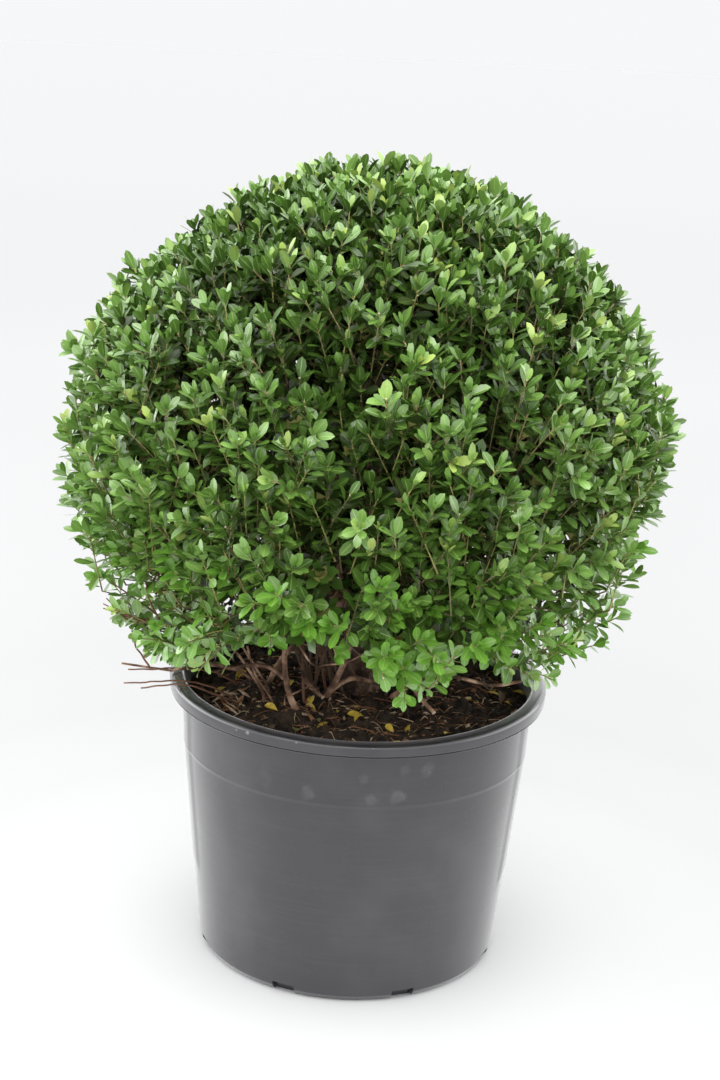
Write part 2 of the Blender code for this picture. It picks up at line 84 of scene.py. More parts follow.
# The fine corners above the shoulder and under the lip, in millimetres: how far out and up
# from the shoulder, the collar's top and the lip's bottom, and the rounding
SHOULDER_CORNERS = ((0, -0.4, 1), (0.3, 1, 0.4), (0.2, 2.2, 0.6))
COLLAR_CORNERS = ((0, -4.8, 0.6), (0.5, -4, 0.6), (0.5, -2.2, 0.6), (0.3, -1.4, 0.3))
LIP_CORNERS = ((-2.4, 0, 0.3), (-1.8, 0.5, 0.3), (-3.8, 1.2, 0.3), (-1.2, 2.4, 0.6))
DRAIN_COUNT = 8
DRAIN_HALVES = np.array((0.011, 0.012, 0.011))
DRAIN_RADIUS = BODY_RADIUS + 0.001
GRIP_HALF_ANGLE = math.radians(20.0)
GRIP_EDGE = 0.02
GRIP_RAISE = 0.0012
GRIP_START = (0.082, 0.095)
GRIP_END = 0.2725
OUTER_MARGIN = 0.002
LIP_SAG = 0.004
LIP_SAG_START = 0.2845
SHARP_ANGLE = math.radians(50.0)

# Soil
SOIL_EDGE = 0.271
SOIL_TOP = 0.277
SOIL_FLAT_RADIUS = 0.115
SOIL_FALL_RADIUS = 0.16
SOIL_BOTTOM = 0.257
PEAT_GAP = 0.0004
PEAT_RINGS = 120
PEAT_SEGMENTS = 320

# Crown, as in the solids
CROWN_CENTRE = np.array((0.002, 0.0, 0.573))
CROWN_RADIUS = 0.307
CROWN_RISE = 0.258
CROWN_DROP = 0.357
CROWN_POWER_UP = 1.75
CROWN_POWER_DOWN = 2.13
CROWN_TILT = 0.119
LUMP_HEIGHT = 0.022
LUMP_PHASE = 0.7
LUMP_WAVES = np.array(((3.1, 1.7, 2.3), (4.7, -3.9, 1.3), (-2.6, 5.3, 4.1), (6.1, 2.2, -5.2)))
# The azimuth and elevation of each mass, in degrees
MASSES = {
    "top": (0, 90),
    "upper_front_left": (-116, 38),
    "upper_front_right": (-44, 38),
    "upper_right": (28, 38),
    "upper_back": (100, 38),
    "upper_left": (172, 38),
    "front": (-80, -18),
    "right": (-8, -18),
    "back_right": (64, -18),
    "back_left": (136, -18),
    "left": (-152, -18),
}

# Trunk and boughs, as in the solids
TRUNK_BASE = np.array((0.004, 0.006, SOIL_TOP + CLEARANCE))
TRUNK_TOP = np.array((0.01, 0.01, 0.372))
TRUNK_PULL = 0.03
TRUNK_RADIUS = 0.019
TRUNK_TIP_RADIUS = 0.0125
TRUNK_FLARE = 0.45
FLARE_FALL = 9.0
BOUGH_TIP_RADIUS = 0.0048
BOUGH_RADIUS = 0.007
BOUGH_ORIGIN = 0.422
UPPER_FORK = 0.352
LOWER_FORK = 0.322
BOUGH_FLARE = 0.25
TOP_BOUGH_SHARE = 0.9
STEM_FLARE = 0.35
STEM_LENGTH = 0.02
CORE_INNER_SHARE = 0.52
# How far a bough, a stem and the top bough leave and arrive straight on, in shares of the span
# but for the top bough's first, which is in metres, and how steeply boughs leave the trunk
BOUGH_PULLS = (0.25, 0.3)
STEM_PULLS = (0.3, 0.45)
TOP_PULLS = (0.03, 0.2)
BOUGH_RISE = 0.8
# The stems that leave the soil by themselves: foot, radius and lean
SOIL_STEMS = {
    "left": (np.array((-0.058, -0.08, SOIL_TOP + CLEARANCE)), 0.0052, np.array((-0.56, -0.12, 0.82))),
    "front": (np.array((-0.034, -0.042, SOIL_TOP + CLEARANCE)), 0.0054, np.array((0.5, 0.04, 0.865))),
}
BARE_FOOT = np.array((-0.108, -0.02, SOIL_TOP + CLEARANCE))
BARE_REST = np.array((-0.192, -0.03, POT_HEIGHT + 0.0016))
BARE_END = np.array((-0.243, -0.034, 0.3045))
BARE_LIFT = 0.03
BARE_PULL = np.array((0.03, 0.0, 0.012))
BARE_RADIUS = 0.003
BARE_TAPER = 0.6
# The points of its straight end: the first and last one's shares of it, and how many
BARE_END_SHARES = (0.04, 1.0, 24)
# How thick the stems and the bare branch are, as shares of the solids' radii
STEM_SLIM = 0.52
BARE_SLIM = 0.62
# The bark's relief on limbs and on branches: the lumps' and grain's widths and shares
LIMB_RELIEF = 0.07
BRANCH_RELIEF = 0.1
BARK_LUMPS = ((0.03, 0.8), (0.011, 0.6))
BARK_GRAIN = (0.0032, np.array((1.0, 1.0, 0.35)))
BARK_SHARES = (0.55, 0.35)
# The points along and around each limb
TRUNK_STEPS, TRUNK_SIDES = 60, 48
BOUGH_STEPS, BOUGH_SIDES = 110, 24

# Shoots, in layers from the outside in: how many, how far out their tips lie as a share of
# the crown's reach, and how many leaves each has
LAYERS = (
    (2400, (0.885, 0.97), (15, 19)),
    (1100, (0.78, 0.86), (9, 13)),
    (640, (0.62, 0.76), (7, 10)),
    (380, (0.4, 0.58), (7, 10)),
)
SHOOT_LENGTH = (0.044, 0.072)
SHOOT_LIFT = (0.9, 2.0)
LOW_LIFT = 0.7
# How far a direction has to drop to count as low, and where heights count as low
LOW_WAY = (0.0, 0.7)
LOW_HEIGHT = (0.5, 0.1)
SHOOT_JITTER = 0.9
SHOOT_WANDER = 0.24
SHOOT_SAG = 0.12
SKIRT_COVER = 0.012
HOLLOW_WIDTH = 0.24
HOLLOW_START = -0.45
HOLLOW_DEPTH = 0.13
HOLLOW_BARE = (-0.95, 0.4)
CLUMP_WIDTH = 0.42
CLUMP_HEIGHT = 0.014
PROUD_SHARE = 0.05
PROUD_STEP = 0.028
SIDE_WAYS = (0.25, 0.6)
OPEN_HEIGHT = 0.45
OPEN_RISE = 0.06
OPEN_DEPTH = 0.1
OPEN_SHARES = (0.42, 0.84)
OPEN_MIDDLE = 0.45
SHADED_SHARE = 0.875
CLIPPED_SHARE = 0.14

# Where the sky shows through the crown, in millimetres: the sides and heights at which the
# camera's lines of sight cross the plane y = 0, and how far from each line no shoot grows
SKY_GAPS = (
    (216, 460, 10), (202, 451, 9), (225, 407, 9), (180, 388, 7), (169, 329, 9), (209, 303, 12),
    (270, 452, 8), (306, 527, 8), (-242, 366, 11), (-257, 351, 8), (-290, 441, 8),
)
GAP_SHARES = (0.15, 0.5, 0.85)

# Tips in millimetres of the sprays that hang in front of the lip on the left, and their way
SPRAYS = MM * np.array((
    (-189, -60, 322), (-172, -62, 320), (-155, -66, 321), (-211, -60, 329), (-226, -55, 343),
    (-241, -50, 358), (-196, -85, 339), (-176, -90, 336), (-135, -100, 322), (-204, -20, 322),
    (-156, -84, 336),
))
SPRAY_WAY = np.array((-0.62, -0.42, -0.3))
SPRAY_SPREAD = 0.35
SPRAY_LENGTH = 0.05
SPRAY_LEAVES = 15

# Bulges and hollows of the crown that show: azimuth and elevation from the crown's centre and
# angular width in degrees, and how far the shoots' tips are moved out, in millimetres
RELIEF = (
    (-150, 50, 20, -16), (-176, 52, 20, -14), (-178, 10, 16, 7), (-178, 27, 9, -13),
    (150, 62, 16, 10), (35, 62, 14, 6), (-4, -42, 10, 26), (-164, -27, 16, 8), (-14, -8, 20, 5),
    (-90, 80, 28, -8), (-30, 50, 20, 4), (-104, 20.6, 5.5, -60), (-96, 9.8, 4.5, -45),
    (-69.6, 25.5, 5, -50), (-84.3, 5.5, 4, -45), (-118, 33.4, 4, -40), (-69, 13.7, 4.5, -40),
    (-101, -13.5, 4.5, -45), (-47.8, -10.8, 4.5, -55), (-78.3, -17.7, 3.5, -40),
    (-140, -31, 5, -55), (-41, -28, 4.5, -50), (-105, 13.2, 3, 14), (-109, -13.6, 3, 18),
)

# The skirt's lower edge: azimuths in degrees, and how high it hangs there, in millimetres
SKIRT = (
    (-180, 302), (-162, 304), (-145, 324), (-135, 331), (-130, 349), (-125, 363), (-119, 372),
    (-107, 378), (-98, 380), (-89, 376), (-85, 346), (-78, 326), (-70, 335), (-65, 361),
    (-52, 354), (-48, 335), (-41, 322), (-25, 306), (0, 292), (25, 298), (90, 330), (180, 302),
)
SKIRT_RAGGED = 0.012
SKIRT_HANG = 0.016
SKIRT_VAULT = 0.075
SKIRT_RADIUS = 0.25
SKIRT_TURN = 0.19
SKIRT_SLOPE = 0.4

# Leaves: their ribs' places and half widths, and the points along each rib
LEAF_LENGTH = 0.0205
LEAF_WIDTH = 0.0092
OUTER_LEAF = (((0.12, 0.17), (0.38, 0.76), (0.64, 1.0), (0.87, 0.7)), (-1.0, -0.085, 0.085, 1.0))
INNER_LEAF = (((0.38, 0.86), (0.76, 0.92)), (-1.0, 0.0, 1.0))
INNER_GROWTH = 1.12
SKIRT_GROWTH = 0.05
LEAF_GROWTH = (0.4, 0.58, 0.8, 0.94, 1.0)
LEAF_SIZES = (0.84, 1.14)
LEAF_WIDTHS = (0.86, 1.14)
LEAF_FOLD = 0.26
LEAF_FOLDS = (0.1, 1.7)
TIP_FOLD = 1.2
LEAF_CURLS = (-0.1, 0.16)
# The first leaf's opening, the step to each next one and the widest, and how they vary
LEAF_OPENING = (math.radians(11.0), math.radians(5.8), math.radians(64.0))
OPENING_SPREAD = 0.12
ROUND_SPREAD = 0.2
# How far a leaf's face turns to the shoot's tip, to the sky, and more to the sky in the skirt
FACE_PULLS = (0.85, 0.3, 0.1)
FACE_SPREADS = (0.16, 0.1)
# The distances between a shoot's leaves from its tip down, in millimetres
LEAF_GAPS = (0.3, 0.6, 0.9, 1.1, 1.3, 1.6, 2.0, 2.6, 3.3, 4.0, 4.5, 4.8)
LEAFY_LENGTH = 0.054
LEAFY_SPREAD = (0.92, 1.08)
LEAFY_SHARE = 0.95
MISSING_SHARE = 0.04
# How far past the crown's outline a leaf may reach
LEAF_REACH = 1.075
# In the skirt the leaves stand further apart, open wider and are rounder
LOOSE_HEIGHT = (0.44, 0.36)
LOOSE_GAP = 0.002
LOOSE_OPENING = math.radians(16.0)
LOOSE_LONGER = -0.12
LOOSE_WIDER = 0.08

# Forks in the crown: how many, how far out as a share of its reach, and the twigs' radii
FORKS = (
    (60, 0.45, (0.0036, 0.0026)),
    (220, 0.6, (0.0021, 0.0014)),
    (760, 0.755, (0.0012, 0.0009)),
)
FORK_JITTER = 0.7
FORK_SPREAD = (0.94, 1.06)
FORK_COVER = 0.006
FORK_SIDES = (6, 5, 4)
CURVE_BEND = 0.1
CURVE_PULLS = (0.35, 0.3)
TWIG_SPREAD = (0.85, 1.18)
CONNECTOR_RADII = (0.0009, 0.0008)
SHOOT_RADII = (0.0009, 0.0006)
SHOOT_PULLS = (0.3, 0.35)
CAP_RADII = (0.001, 0.001)
CAP_LENGTH = 0.0012
LONGEST_CONNECTOR = 0.085
BASAL_COUNT = 58
BASAL_HEIGHT = 0.47
BASAL_SPREAD = (0.012, 0.075)
BASAL_DEPTH = 0.005
# Right of the first side, no basal stem stands further forward than the second
BASAL_HOLLOW = (-0.05, -0.018)
BASAL_RADII = (0.0017, 0.001)
# How they stray from their forks' sides, how steeply and how far straight on they leave the
# soil and reach the forks, and the points along each
BASAL_STRAY = 0.5
BASAL_LEAN = 0.35
BASAL_RISE = 0.3
BASAL_PULLS = (0.045, 0.04)
BASAL_STEPS = 12

# Zones of the crown with painted light or painted shade, whose leaves are lighter or darker:
# azimuth, elevation and angular width in degrees, and the share of its shoots that changes to
# the next shade
PAINTED_LIGHT_ZONES = (
    (-140, 48, 30, -0.68), (-40, 48, 26, -0.22), (-160, 2, 26, 0.38), (-90, 78, 24, 0.36),
    (-30, 6, 20, -0.26), (-140, -28, 22, 0.44), (-35, -28, 24, 0.74), (-90, -20, 22, -0.08),
)
# How much more often leaves are light at the sides and low down, as painted light, and the draws
# below which they are dark and green
SIDE_PAINTED_LIGHT = 0.3
LOW_PAINTED_LIGHT = 0.16
DARK_DRAW = 0.34
GREEN_DRAW = 0.8
# Low down many leaves are a fresh green, partly their own and partly painted light
FRESH_AND_LIT_SHARE = 0.72
LIT_DRAW = 0.42
# How many shoots have bright and young tips, how many fewer do low down, and how much that is
# undone at the sides, where more tips are bright as painted light
BRIGHT_SHARE = 0.46
YOUNG_SHARE = 0.14
LOW_SPRING = 0.32
SIDE_SPRING_PAINTED_LIGHT = 1.4
TIP_LEAVES = (2, 6)
OLD_ORDER = 6
OLD_SHARE = 0.6

# The leaves' materials, with a name for each one's index: the base colour, the specular level,
# the coat's weight and the index of the midrib's material
SHADOW, DARK, GREEN, MID, FRESH_AND_LIT, BRIGHT, YOUNG, FOOT = range(8)
LEAF_SHADES = {
    # A dull olive for the deep leaves inside the crown: painted shade
    "leaf_painted_shade": ((0.038, 0.061, 0.013), 0.34, 0.08, DARK),
    "leaf_dark": ((0.071, 0.15, 0.02), 0.5, 0.2, MID),
    "leaf_green": ((0.134, 0.268, 0.04), 0.85, 0.5, BRIGHT),
    "leaf_mid": ((0.214, 0.395, 0.08), 0.9, 0.55, BRIGHT),
    # Fresh green, partly the leaves' own and partly painted light
    "leaf_fresh_and_lit": ((0.178, 0.405, 0.044), 0.7, 0.35, BRIGHT),
    "leaf_bright": ((0.33, 0.515, 0.122), 0.8, 0.4, YOUNG),
    "leaf_young": ((0.45, 0.59, 0.145), 0.6, 0.25, YOUNG),
    "leaf_foot": ((0.48, 0.47, 0.15), 0.4, 0.0, FOOT),
}
VEIN_SHADES = np.array([row[-1] for row in LEAF_SHADES.values()])
BROWN, RED, OLIVE, LIME, TAN, CUT = range(6)
TWIG_SHADES = {
    "twig_brown": (0.15, 0.095, 0.06),
    "twig_red": (0.25, 0.12, 0.07),
    "twig_olive": (0.22, 0.2, 0.08),
    "twig_green": (0.42, 0.4, 0.13),
    "twig_tan": (0.42, 0.3, 0.17),
    "cut_wood": (0.8, 0.66, 0.46),
}
# How often the shoots' stems have each shade
SHOOT_TWIG_SHADES = {LIME: 0.55, OLIVE: 0.2, TAN: 0.25}

# The bark's colours by how high its noise is, the colour of its specks, and the trunk's darker tone,
# painted shade
BARK_RAMP = ((0.36, (0.04, 0.021, 0.013)), (0.52, (0.235, 0.128, 0.078)), (0.66, (0.62, 0.41, 0.28)))
BARK_SPECK = (0.46, 0.36, 0.28)
TRUNK_PAINTED_SHADE = 0.42

# Where yellow leaves lie on the soil, in millimetres
FALLEN = (
    (-78.5, -84.3), (-46.1, -40.1), (-39.8, -73.4), (-39.1, -119.7), (-1.9, -101.3), (7.8, -83.6),
    (37.8, -120.1), (52.6, -120.8), (96.2, -112.3), (152.4, -3.6),
)
FALLEN_MORE = 34
FALLEN_SHARES = (0.3, 0.35, 0.35)
FALLEN_LIFT = 0.0016
FALLEN_RISE = (0.0, 0.55)
FALLEN_TILT = 0.35
FALLEN_SIZES = (0.6, 1.0)
FALLEN_WIDTH = 0.46
FALLEN_FOLDS = (0.2, 0.9)
FALLEN_CURLS = (-0.1, 0.5)
FALLEN_SHADES = {
    "fallen_yellow": (0.82, 0.59, 0.075),
    "fallen_olive": (0.23, 0.21, 0.05),
    "fallen_brown": (0.13, 0.07, 0.036),
}

# The soil's clods, each row a width and a height, and what lies on it
SOIL_CLODS = ((0.034, 0.0026), (0.013, 0.0024), (0.0052, 0.0014))
SOIL_MOUND = (0.02, 0.005)
SOIL_REACH = 0.172
CRUMB_COUNT = 3000
CRUMB_SIZE = (0.0007, 0.0032)
FIBRE_COUNT = 700
FIBRE_LENGTH = (0.007, 0.024)
FIBRE_ARCH = (0.0005, 0.005)
FIBRE_RADIUS = (0.0003, 0.00075)
FIBRE_TAPER = 0.6
FIBRE_PULL = 0.35
FIBRE_BEND = 0.002
FIBRE_LIFTS = (0.0004, 0.0008)
FIBRE_STEPS = 6
CHIP_COUNT = 150
CHIP_SIZE = (0.0013, 0.0031)
CHIP_STRETCH = 3.4
CHIP_PILE = (np.array((-0.135, -0.062, 0.0)), 0.024, 40)
CHIP_PILE_HEIGHT = 0.007
CHIP_LIFT = 0.0008
# How much crumbs and chips vary along each axis and at each corner, how flat and tilted they are
LITTER_SPREADS = ((0.5, 1.4), (0.75, 1.25))
LITTER_FLAT = 0.6
LITTER_TILT = 0.5
LITTER_SHADES = {
    "litter_black": (0.015, 0.01, 0.007),
    "litter_brown": (0.095, 0.058, 0.033),
    "litter_red": (0.34, 0.165, 0.08),
    "litter_pale": (0.7, 0.52, 0.34),
}
# How often crumbs have each shade, and chips and fibres each but the first
CRUMB_SHARES = (0.52, 0.33, 0.1, 0.05)
CHIP_SHARES = (0.2, 0.38, 0.42)
FIBRE_SHARES = (0.4, 0.45, 0.15)

# Branches that show under the crown, in millimetres: the two radii, whether the far end is a
# pale cut, and the corners of the way
BRANCH_SLIM = 0.85
BRANCH_SIDES = 14
BRANCH_FLARE = 0.2
# A cut's pale face: how far it lies into and past the end, and its share of the radius
CUT_FACE = (0.0006, 0.0004, 0.96)
BRANCHES = (
    (3.4, 3, False, (
        (-42, -46, 270), (-30, -39, 284), (-17.2, -36, 295.6), (-4.2, -34, 301), (8.4, -30, 297.5),
        (30, -26, 296), (58, -30, 318),
    )),
    (3.6, 2.8, False, (
        (-98, -30, 272), (-81.4, -40, 315.4), (-60.9, -45, 347.2), (-50, -60, 392),
    )),
    (2.7, 2.1, False, (
        (-70, -66, 306), (-90.9, -70, 321.2), (-110.5, -80, 325.4), (-128.6, -90, 325.4),
        (-156, -104, 338),
    )),
    (2.6, 2.4, False, (
        (34, -98, 306), (67, -130, 347.9), (91.7, -140, 381.2), (110, -144, 410),
    )),
    (2.3, 1.9, False, (
        (36, -60, 318), (77.4, -100, 333.5), (106, -102, 330), (134.2, -104, 325.9),
        (160, -110, 334),
    )),
    (2.7, 2.4, True, (
        (-58, -42, 312), (-50.6, -50, 297.9), (-34.6, -60, 287.8),
    )),
    (2.6, 2.2, True, (
        (52, -112, 326), (60.9, -128, 318.6), (74.9, -140, 307.7),
    )),
    (1.9, 1.4, False, (
        (-94, -50, 270), (-97.2, -52, 288.9), (-114.8, -60, 319.6), (-127.7, -70, 342.7),
        (-140, -78, 372),
    )),
    (1.7, 1.3, False, (
        (-88, -36, 270), (-91.7, -40, 287.7), (-104.1, -50, 312.3), (-120.5, -60, 342.8),
        (-134, -66, 376),
    )),
    (1.5, 1.2, False, (
        (-80, -60, 271), (-90, -64, 290), (-104, -70, 314), (-112, -78, 345),
    )),
    (1.3, 1, False, (
        (-70, -84, 296), (-60, -80, 300), (-50, -75, 303.5), (-40, -74, 302),
    )),
    (1.4, 0.9, False, (
        (-64, -96, 360), (-56.6, -100, 351.5), (-45.2, -101, 337.5), (-28, -102, 338.5),
        (-10.9, -100, 341.4), (4, -98, 350),
    )),
)

# Thin twigs that lie over the lip beside the bare branch, and one that forks up from it, in
# millimetres
OVERHANG = (
    ((-118, -10, 274), (-150, -18, 294), (-190, -26, 298.5), (-236, -30, 297)),
    ((-116, -46, 272), (-148, -54, 291), (-184, -61, 298.5), (-236, -66, 295)),
    ((-118, -56, 272), (-150, -64, 290), (-181, -71, 298), (-218, -70, 292.5)),
    ((-214, -32, 301), (-221, -34, 312), (-228, -40, 326), (-231, -46, 344)),
    ((-221, -34, 312), (-212, -36, 323), (-209, -40, 337)),
)
OVERHANG_RADII = (0.0012, 0.0008)
OVERHANG_WAVES = (0.02, 0.0006)
# The forked twig at the lower left: its foot, and how many tines of what length it has
FORKED_FOOT = np.array((-0.208, -0.08, 0.366))
FORKED_WAY = np.array((-0.75, -0.1, 0.3))
FORKED_COUNT = 6
FORKED_LENGTH = 0.048
FORKED_RADII = (0.0012, 0.0006)
FORKED_SPREAD = 0.33
# A tine's three corners: their shares of its length, how far each is lifted, and their jitter
FORKED_SHARES = np.array((0.0, 0.45, 1.0))[:, None]
FORKED_LIFTS = np.array((0.0, 0.004, 0.01))[:, None]
FORKED_JITTER = 0.0045

# Dust, scuffs and a scratch on the pot: where and how wide, in millimetres, and how strong
POT_MARKS = (
    ((71.3, -165.1, 258.5), 9.5, 0.34), ((-42, -173.8, 231.3), 9, 0.26),
    ((43.7, -173.4, 232.5), 10, 0.38), ((16.9, -178, 230), 8, 0.3), ((49, -173.2, 260.7), 7, 0.18),
    ((10, -180, 252), 7, 0.2), ((-85.6, -157.3, 238.5), 11, 0.12),
    ((59.3, -157.4, 145.4), 1.2, 0.8), ((-115.1, -158.9, 287.4), 1.8, 2.2),
    ((-104, -166.4, 287.9), 2.6, 2.6), ((-56, -188, 289), 1.6, 1.4),
    ((17.5, -195.6, 290), 1.2, 1.8),
)
POT_DUST = (0.2, 0.196, 0.2)


def unit(vectors):
    return vectors / np.maximum(np.linalg.norm(vectors, axis=-1, keepdims=True), TINY)


def dot(a, b):
    return (a * b).sum(-1, keepdims=True)


def square_to(vectors, axis):
    """The directions that vectors have across each axis."""
    return unit(vectors - axis * dot(vectors, axis))


def across(axis, turn):
    """Unit vectors across each axis, turned about it by an angle."""
    side = square_to(np.where(np.abs(axis[..., 2:3]) < 0.8, UP, np.array((1.0, 0.0, 0.0))), axis)
    turn = np.asarray(turn)[..., None]
    return side * np.cos(turn) + np.cross(axis, side) * np.sin(turn)


def circle(turn, radius=1.0, height=0.0):
    """Points about the Z axis."""
    return np.stack((radius * np.cos(turn), radius * np.sin(turn), height + 0.0 * turn), -1)


def heading(azimuth, elevation):
    """Unit vectors by azimuth and elevation, in degrees."""
    rise = np.radians(elevation)
    return circle(np.radians(azimuth), np.cos(rise), np.sin(rise))


def mass_headings():
    return heading(*np.array(list(MASSES.values())).T)


def mass_of(directions):
    """The index of the mass whose heading lies nearest to each direction."""
    return (directions @ mass_headings().T).argmax(-1)


def lattice(count):
    """Directions spread evenly over the sphere along a golden spiral."""
    i = np.arange(count)
    height = 1.0 - 2.0 * (i + 0.5) / count
    return circle(i * GOLDEN_ANGLE, np.sqrt(1.0 - height**2), height)


def jittered(count, amount, rng):
    return unit(lattice(count) + rng.normal(size=(count, 3)) * amount / math.sqrt(count))


def crown_reach(directions):
    """How far the crown's outline lies from its centre in unit directions."""
    cosine, sine = math.cos(CROWN_TILT), math.sin(CROWN_TILT)
    x = cosine * directions[..., 0] - sine * directions[..., 2]
    z = cosine * directions[..., 2] + sine * directions[..., 0]
    flat = np.hypot(x, directions[..., 1])
    tall = np.where(z > 0.0, CROWN_RISE, CROWN_DROP)
    power = np.where(z > 0.0, CROWN_POWER_UP, CROWN_POWER_DOWN)
    reach = ((flat / CROWN_RADIUS) ** power + (np.abs(z) / tall) ** power) ** (-1.0 / power)
    lump = np.sin(directions @ LUMP_WAVES.T + LUMP_PHASE * np.arange(len(LUMP_WAVES))).mean(-1)
    return reach * (1.0 + LUMP_HEIGHT * lump)


def waves(points, length, rng, count=9):
    """Smooth noise from -1 to 1 whose lumps are about as wide as length."""
    ways = unit(rng.normal(size=(count, 3))) * (TURN / length) * rng.uniform(0.6, 1.5, (count, 1))
    return np.sin(points @ ways.T + rng.uniform(0.0, TURN, count)).sum(-1) / math.sqrt(count)


def smooth_step(low, high, values):
    share = np.clip((values - low) / (high - low), 0.0, 1.0)
    return share * share * (3.0 - 2.0 * share)


def drop(values, top, depth):
    """0 down to a top value, and from there up to 1 at a depth below it."""
    return np.clip((top - values) / depth, 0.0, 1.0)


def bezier(start, start_pull, end_pull, end, share):
    rest = 1.0 - share
    return (
        start * rest**3
        + start_pull * 3.0 * rest**2 * share
        + end_pull * 3.0 * rest * share**2
        + end * share**3
    )


def curves(start, start_pull, end_pull, end, steps):
    """One cubic curve for each row of the ends, as points (rows, steps, 3)."""
    share = np.linspace(0.0, 1.0, steps)[None, :, None]
    return bezier(start[:, None], start_pull[:, None], end_pull[:, None], end[:, None], share)


def spread_curves(start, leave, end, arrive, steps, rng):
    """Curves that leave and arrive by given ways, each a little bent."""
    span = np.linalg.norm(end - start, axis=-1)[:, None]
    bend = rng.normal(size=start.shape) * CURVE_BEND * span
    leaving, arriving = CURVE_PULLS
    pulls = (start + leave * span * leaving + bend, end - arrive * span * arriving - bend)
    return curves(start, *pulls, end, steps)


def smooth_path(corners, steps):
    """A smooth curve through all the corners."""
    ends = np.concatenate((2.0 * corners[:1] - corners[1:2], corners, 2.0 * corners[-1:] - corners[-2:-1]))
    share = np.linspace(0.0, 1.0, steps, endpoint=False)[:, None]
    rows = []
    for a, b, c, d in zip(ends, ends[1:], ends[2:], ends[3:]):
        square = (2.0 * a - 5.0 * b + 4.0 * c - d) * share**2
        cubic = (-a + 3.0 * b - 3.0 * c + d) * share**3
        rows.append(0.5 * (2.0 * b + (c - a) * share + square + cubic))
    return np.concatenate((*rows, corners[-1:]))


def repeated(pattern, count, size):
    """The triangles of one thing with size points, for count of them."""
    return (np.asarray(pattern)[None] + size * np.arange(count)[:, None, None]).reshape(-1, 3)


def bands(rings, sides):
    """Triangles between rings of points that follow each other, as a list of arrays."""
    low = np.arange(sides)
    high = (low + 1) % sides
    rows = []
    for a in range(0, (rings - 1) * sides, sides):
        b = a + sides
        rows += [np.stack((a + low, a + high, b + high), -1), np.stack((a + low, b + high, b + low), -1)]
    return rows


def tubes(paths, radii, sides):
    """Closed tubes along paths (n, k, 3) with radii (n, k): their points and triangles."""
    count, steps, _ = paths.shape
    along = unit(np.gradient(paths, axis=1))
    side = square_to(across(unit(paths[:, -1] - paths[:, 0]), np.zeros(count))[:, None], along)
    third = np.cross(along, side)
    angle = TURN * np.arange(sides) / sides
    ring = side[:, :, None] * np.cos(angle)[:, None] + third[:, :, None] * np.sin(angle)[:, None]
    points = paths[:, :, None] + ring * radii[:, :, None, None]
    fan = np.arange(1, sides - 1)
    last = (steps - 1) * sides
    caps = [np.stack((0 * fan, fan + 1, fan), -1), np.stack((0 * fan, fan, fan + 1), -1) + last]
    return points.reshape(-1, 3), repeated(np.concatenate(bands(steps, sides) + caps), count, steps * sides)


def leaf_points(root, along, face, length, width, fold, curl, ribs, spans):
    """The points of each leaf: its base, a row across it for each rib, and its tip."""
    side = np.cross(along, face)
    length, width, fold, curl = length[:, None], width[:, None] * 0.5, fold[:, None], curl[:, None]
    rows = [root]
    for share, wide in ribs:
        centre = root + along * length * share - face * curl * length * share**2
        rows += [centre + (side * span + face * fold * abs(span)) * width * wide for span in spans]
    rows.append(root + along * length - face * curl * length)
    return np.stack(rows, 1).reshape(-1, 3)


def leaf_triangles(count, ribs, spans):
    """The triangles of many leaves, and for those of one leaf: 0 stalk, 1 blade or 2 midrib."""
    wide, last = len(spans), len(ribs) * len(spans)
    pattern, parts = [], []
    for k in range(wide - 1):
        middle = 2 if k == 1 and wide == 4 else 1
        pattern.append((0, k + 2, k + 1))
        parts.append(0)
        for low in range(k + 1, last - wide + 1, wide):
            pattern += [(low, low + 1, low + wide + 1), (low, low + wide + 1, low + wide)]
            parts += [middle, middle]
        end = last - wide + k + 1
        pattern.append((end, end + 1, last + 1))
        parts.append(middle)
    return repeated(pattern, count, last + 2), np.array(parts)


def add_mesh(name, materials, points, triangles, shades=None, smooth=True):
    """A mesh object from arrays, with a material index for each triangle."""
    mesh = bpy.data.meshes.new(name)
    mesh.vertices.add(len(points))
    mesh.vertices.foreach_set("co", np.asarray(points, np.float32).ravel())
    mesh.loops.add(len(triangles) * 3)
    mesh.loops.foreach_set("vertex_index", np.asarray(triangles, np.int32).ravel())
    mesh.polygons.add(len(triangles))
    mesh.polygons.foreach_set("loop_start", np.arange(0, len(triangles) * 3, 3, dtype=np.int32))
    if shades is not None:
        mesh.polygons.foreach_set("material_index", np.asarray(shades, np.int32))
    mesh.polygons.foreach_set("use_smooth", np.full(len(triangles), smooth))
    for made in materials:
        mesh.materials.append(made)
    mesh.update(calc_edges=True)
    obj = bpy.data.objects.new(name, mesh)
    bpy.context.scene.collection.objects.link(obj)
    return obj


def dress(obj, slot, *nodes):
    """Ties a piece to the body and hides the imported parts that it stands for; its slot is not used."""
    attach(obj, "root")
    if nodes:
        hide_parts(*nodes)


def joined(shapes):
    """Many shapes, each its points, triangles and shade, as the points, triangles and shades of one."""
    points, triangles, shades = zip(*shapes)
    offsets = np.cumsum([0, *(len(rows) for rows in points[:-1])])
    shades = [np.broadcast_to(shade, len(rows)) for shade, rows in zip(shades, triangles)]
    triangles = [rows + offset for rows, offset in zip(triangles, offsets)]
    return np.concatenate(points), np.concatenate(triangles), np.concatenate(shades)


def put(tree, socket, value):
    """Links a socket to an output, or gives it a number, a place or a colour."""
    if isinstance(value, bpy.types.NodeSocket):
        tree.links.new(value, socket)
    else:
        socket.default_value = (*value, 1.0) if socket.type == "RGBA" else value


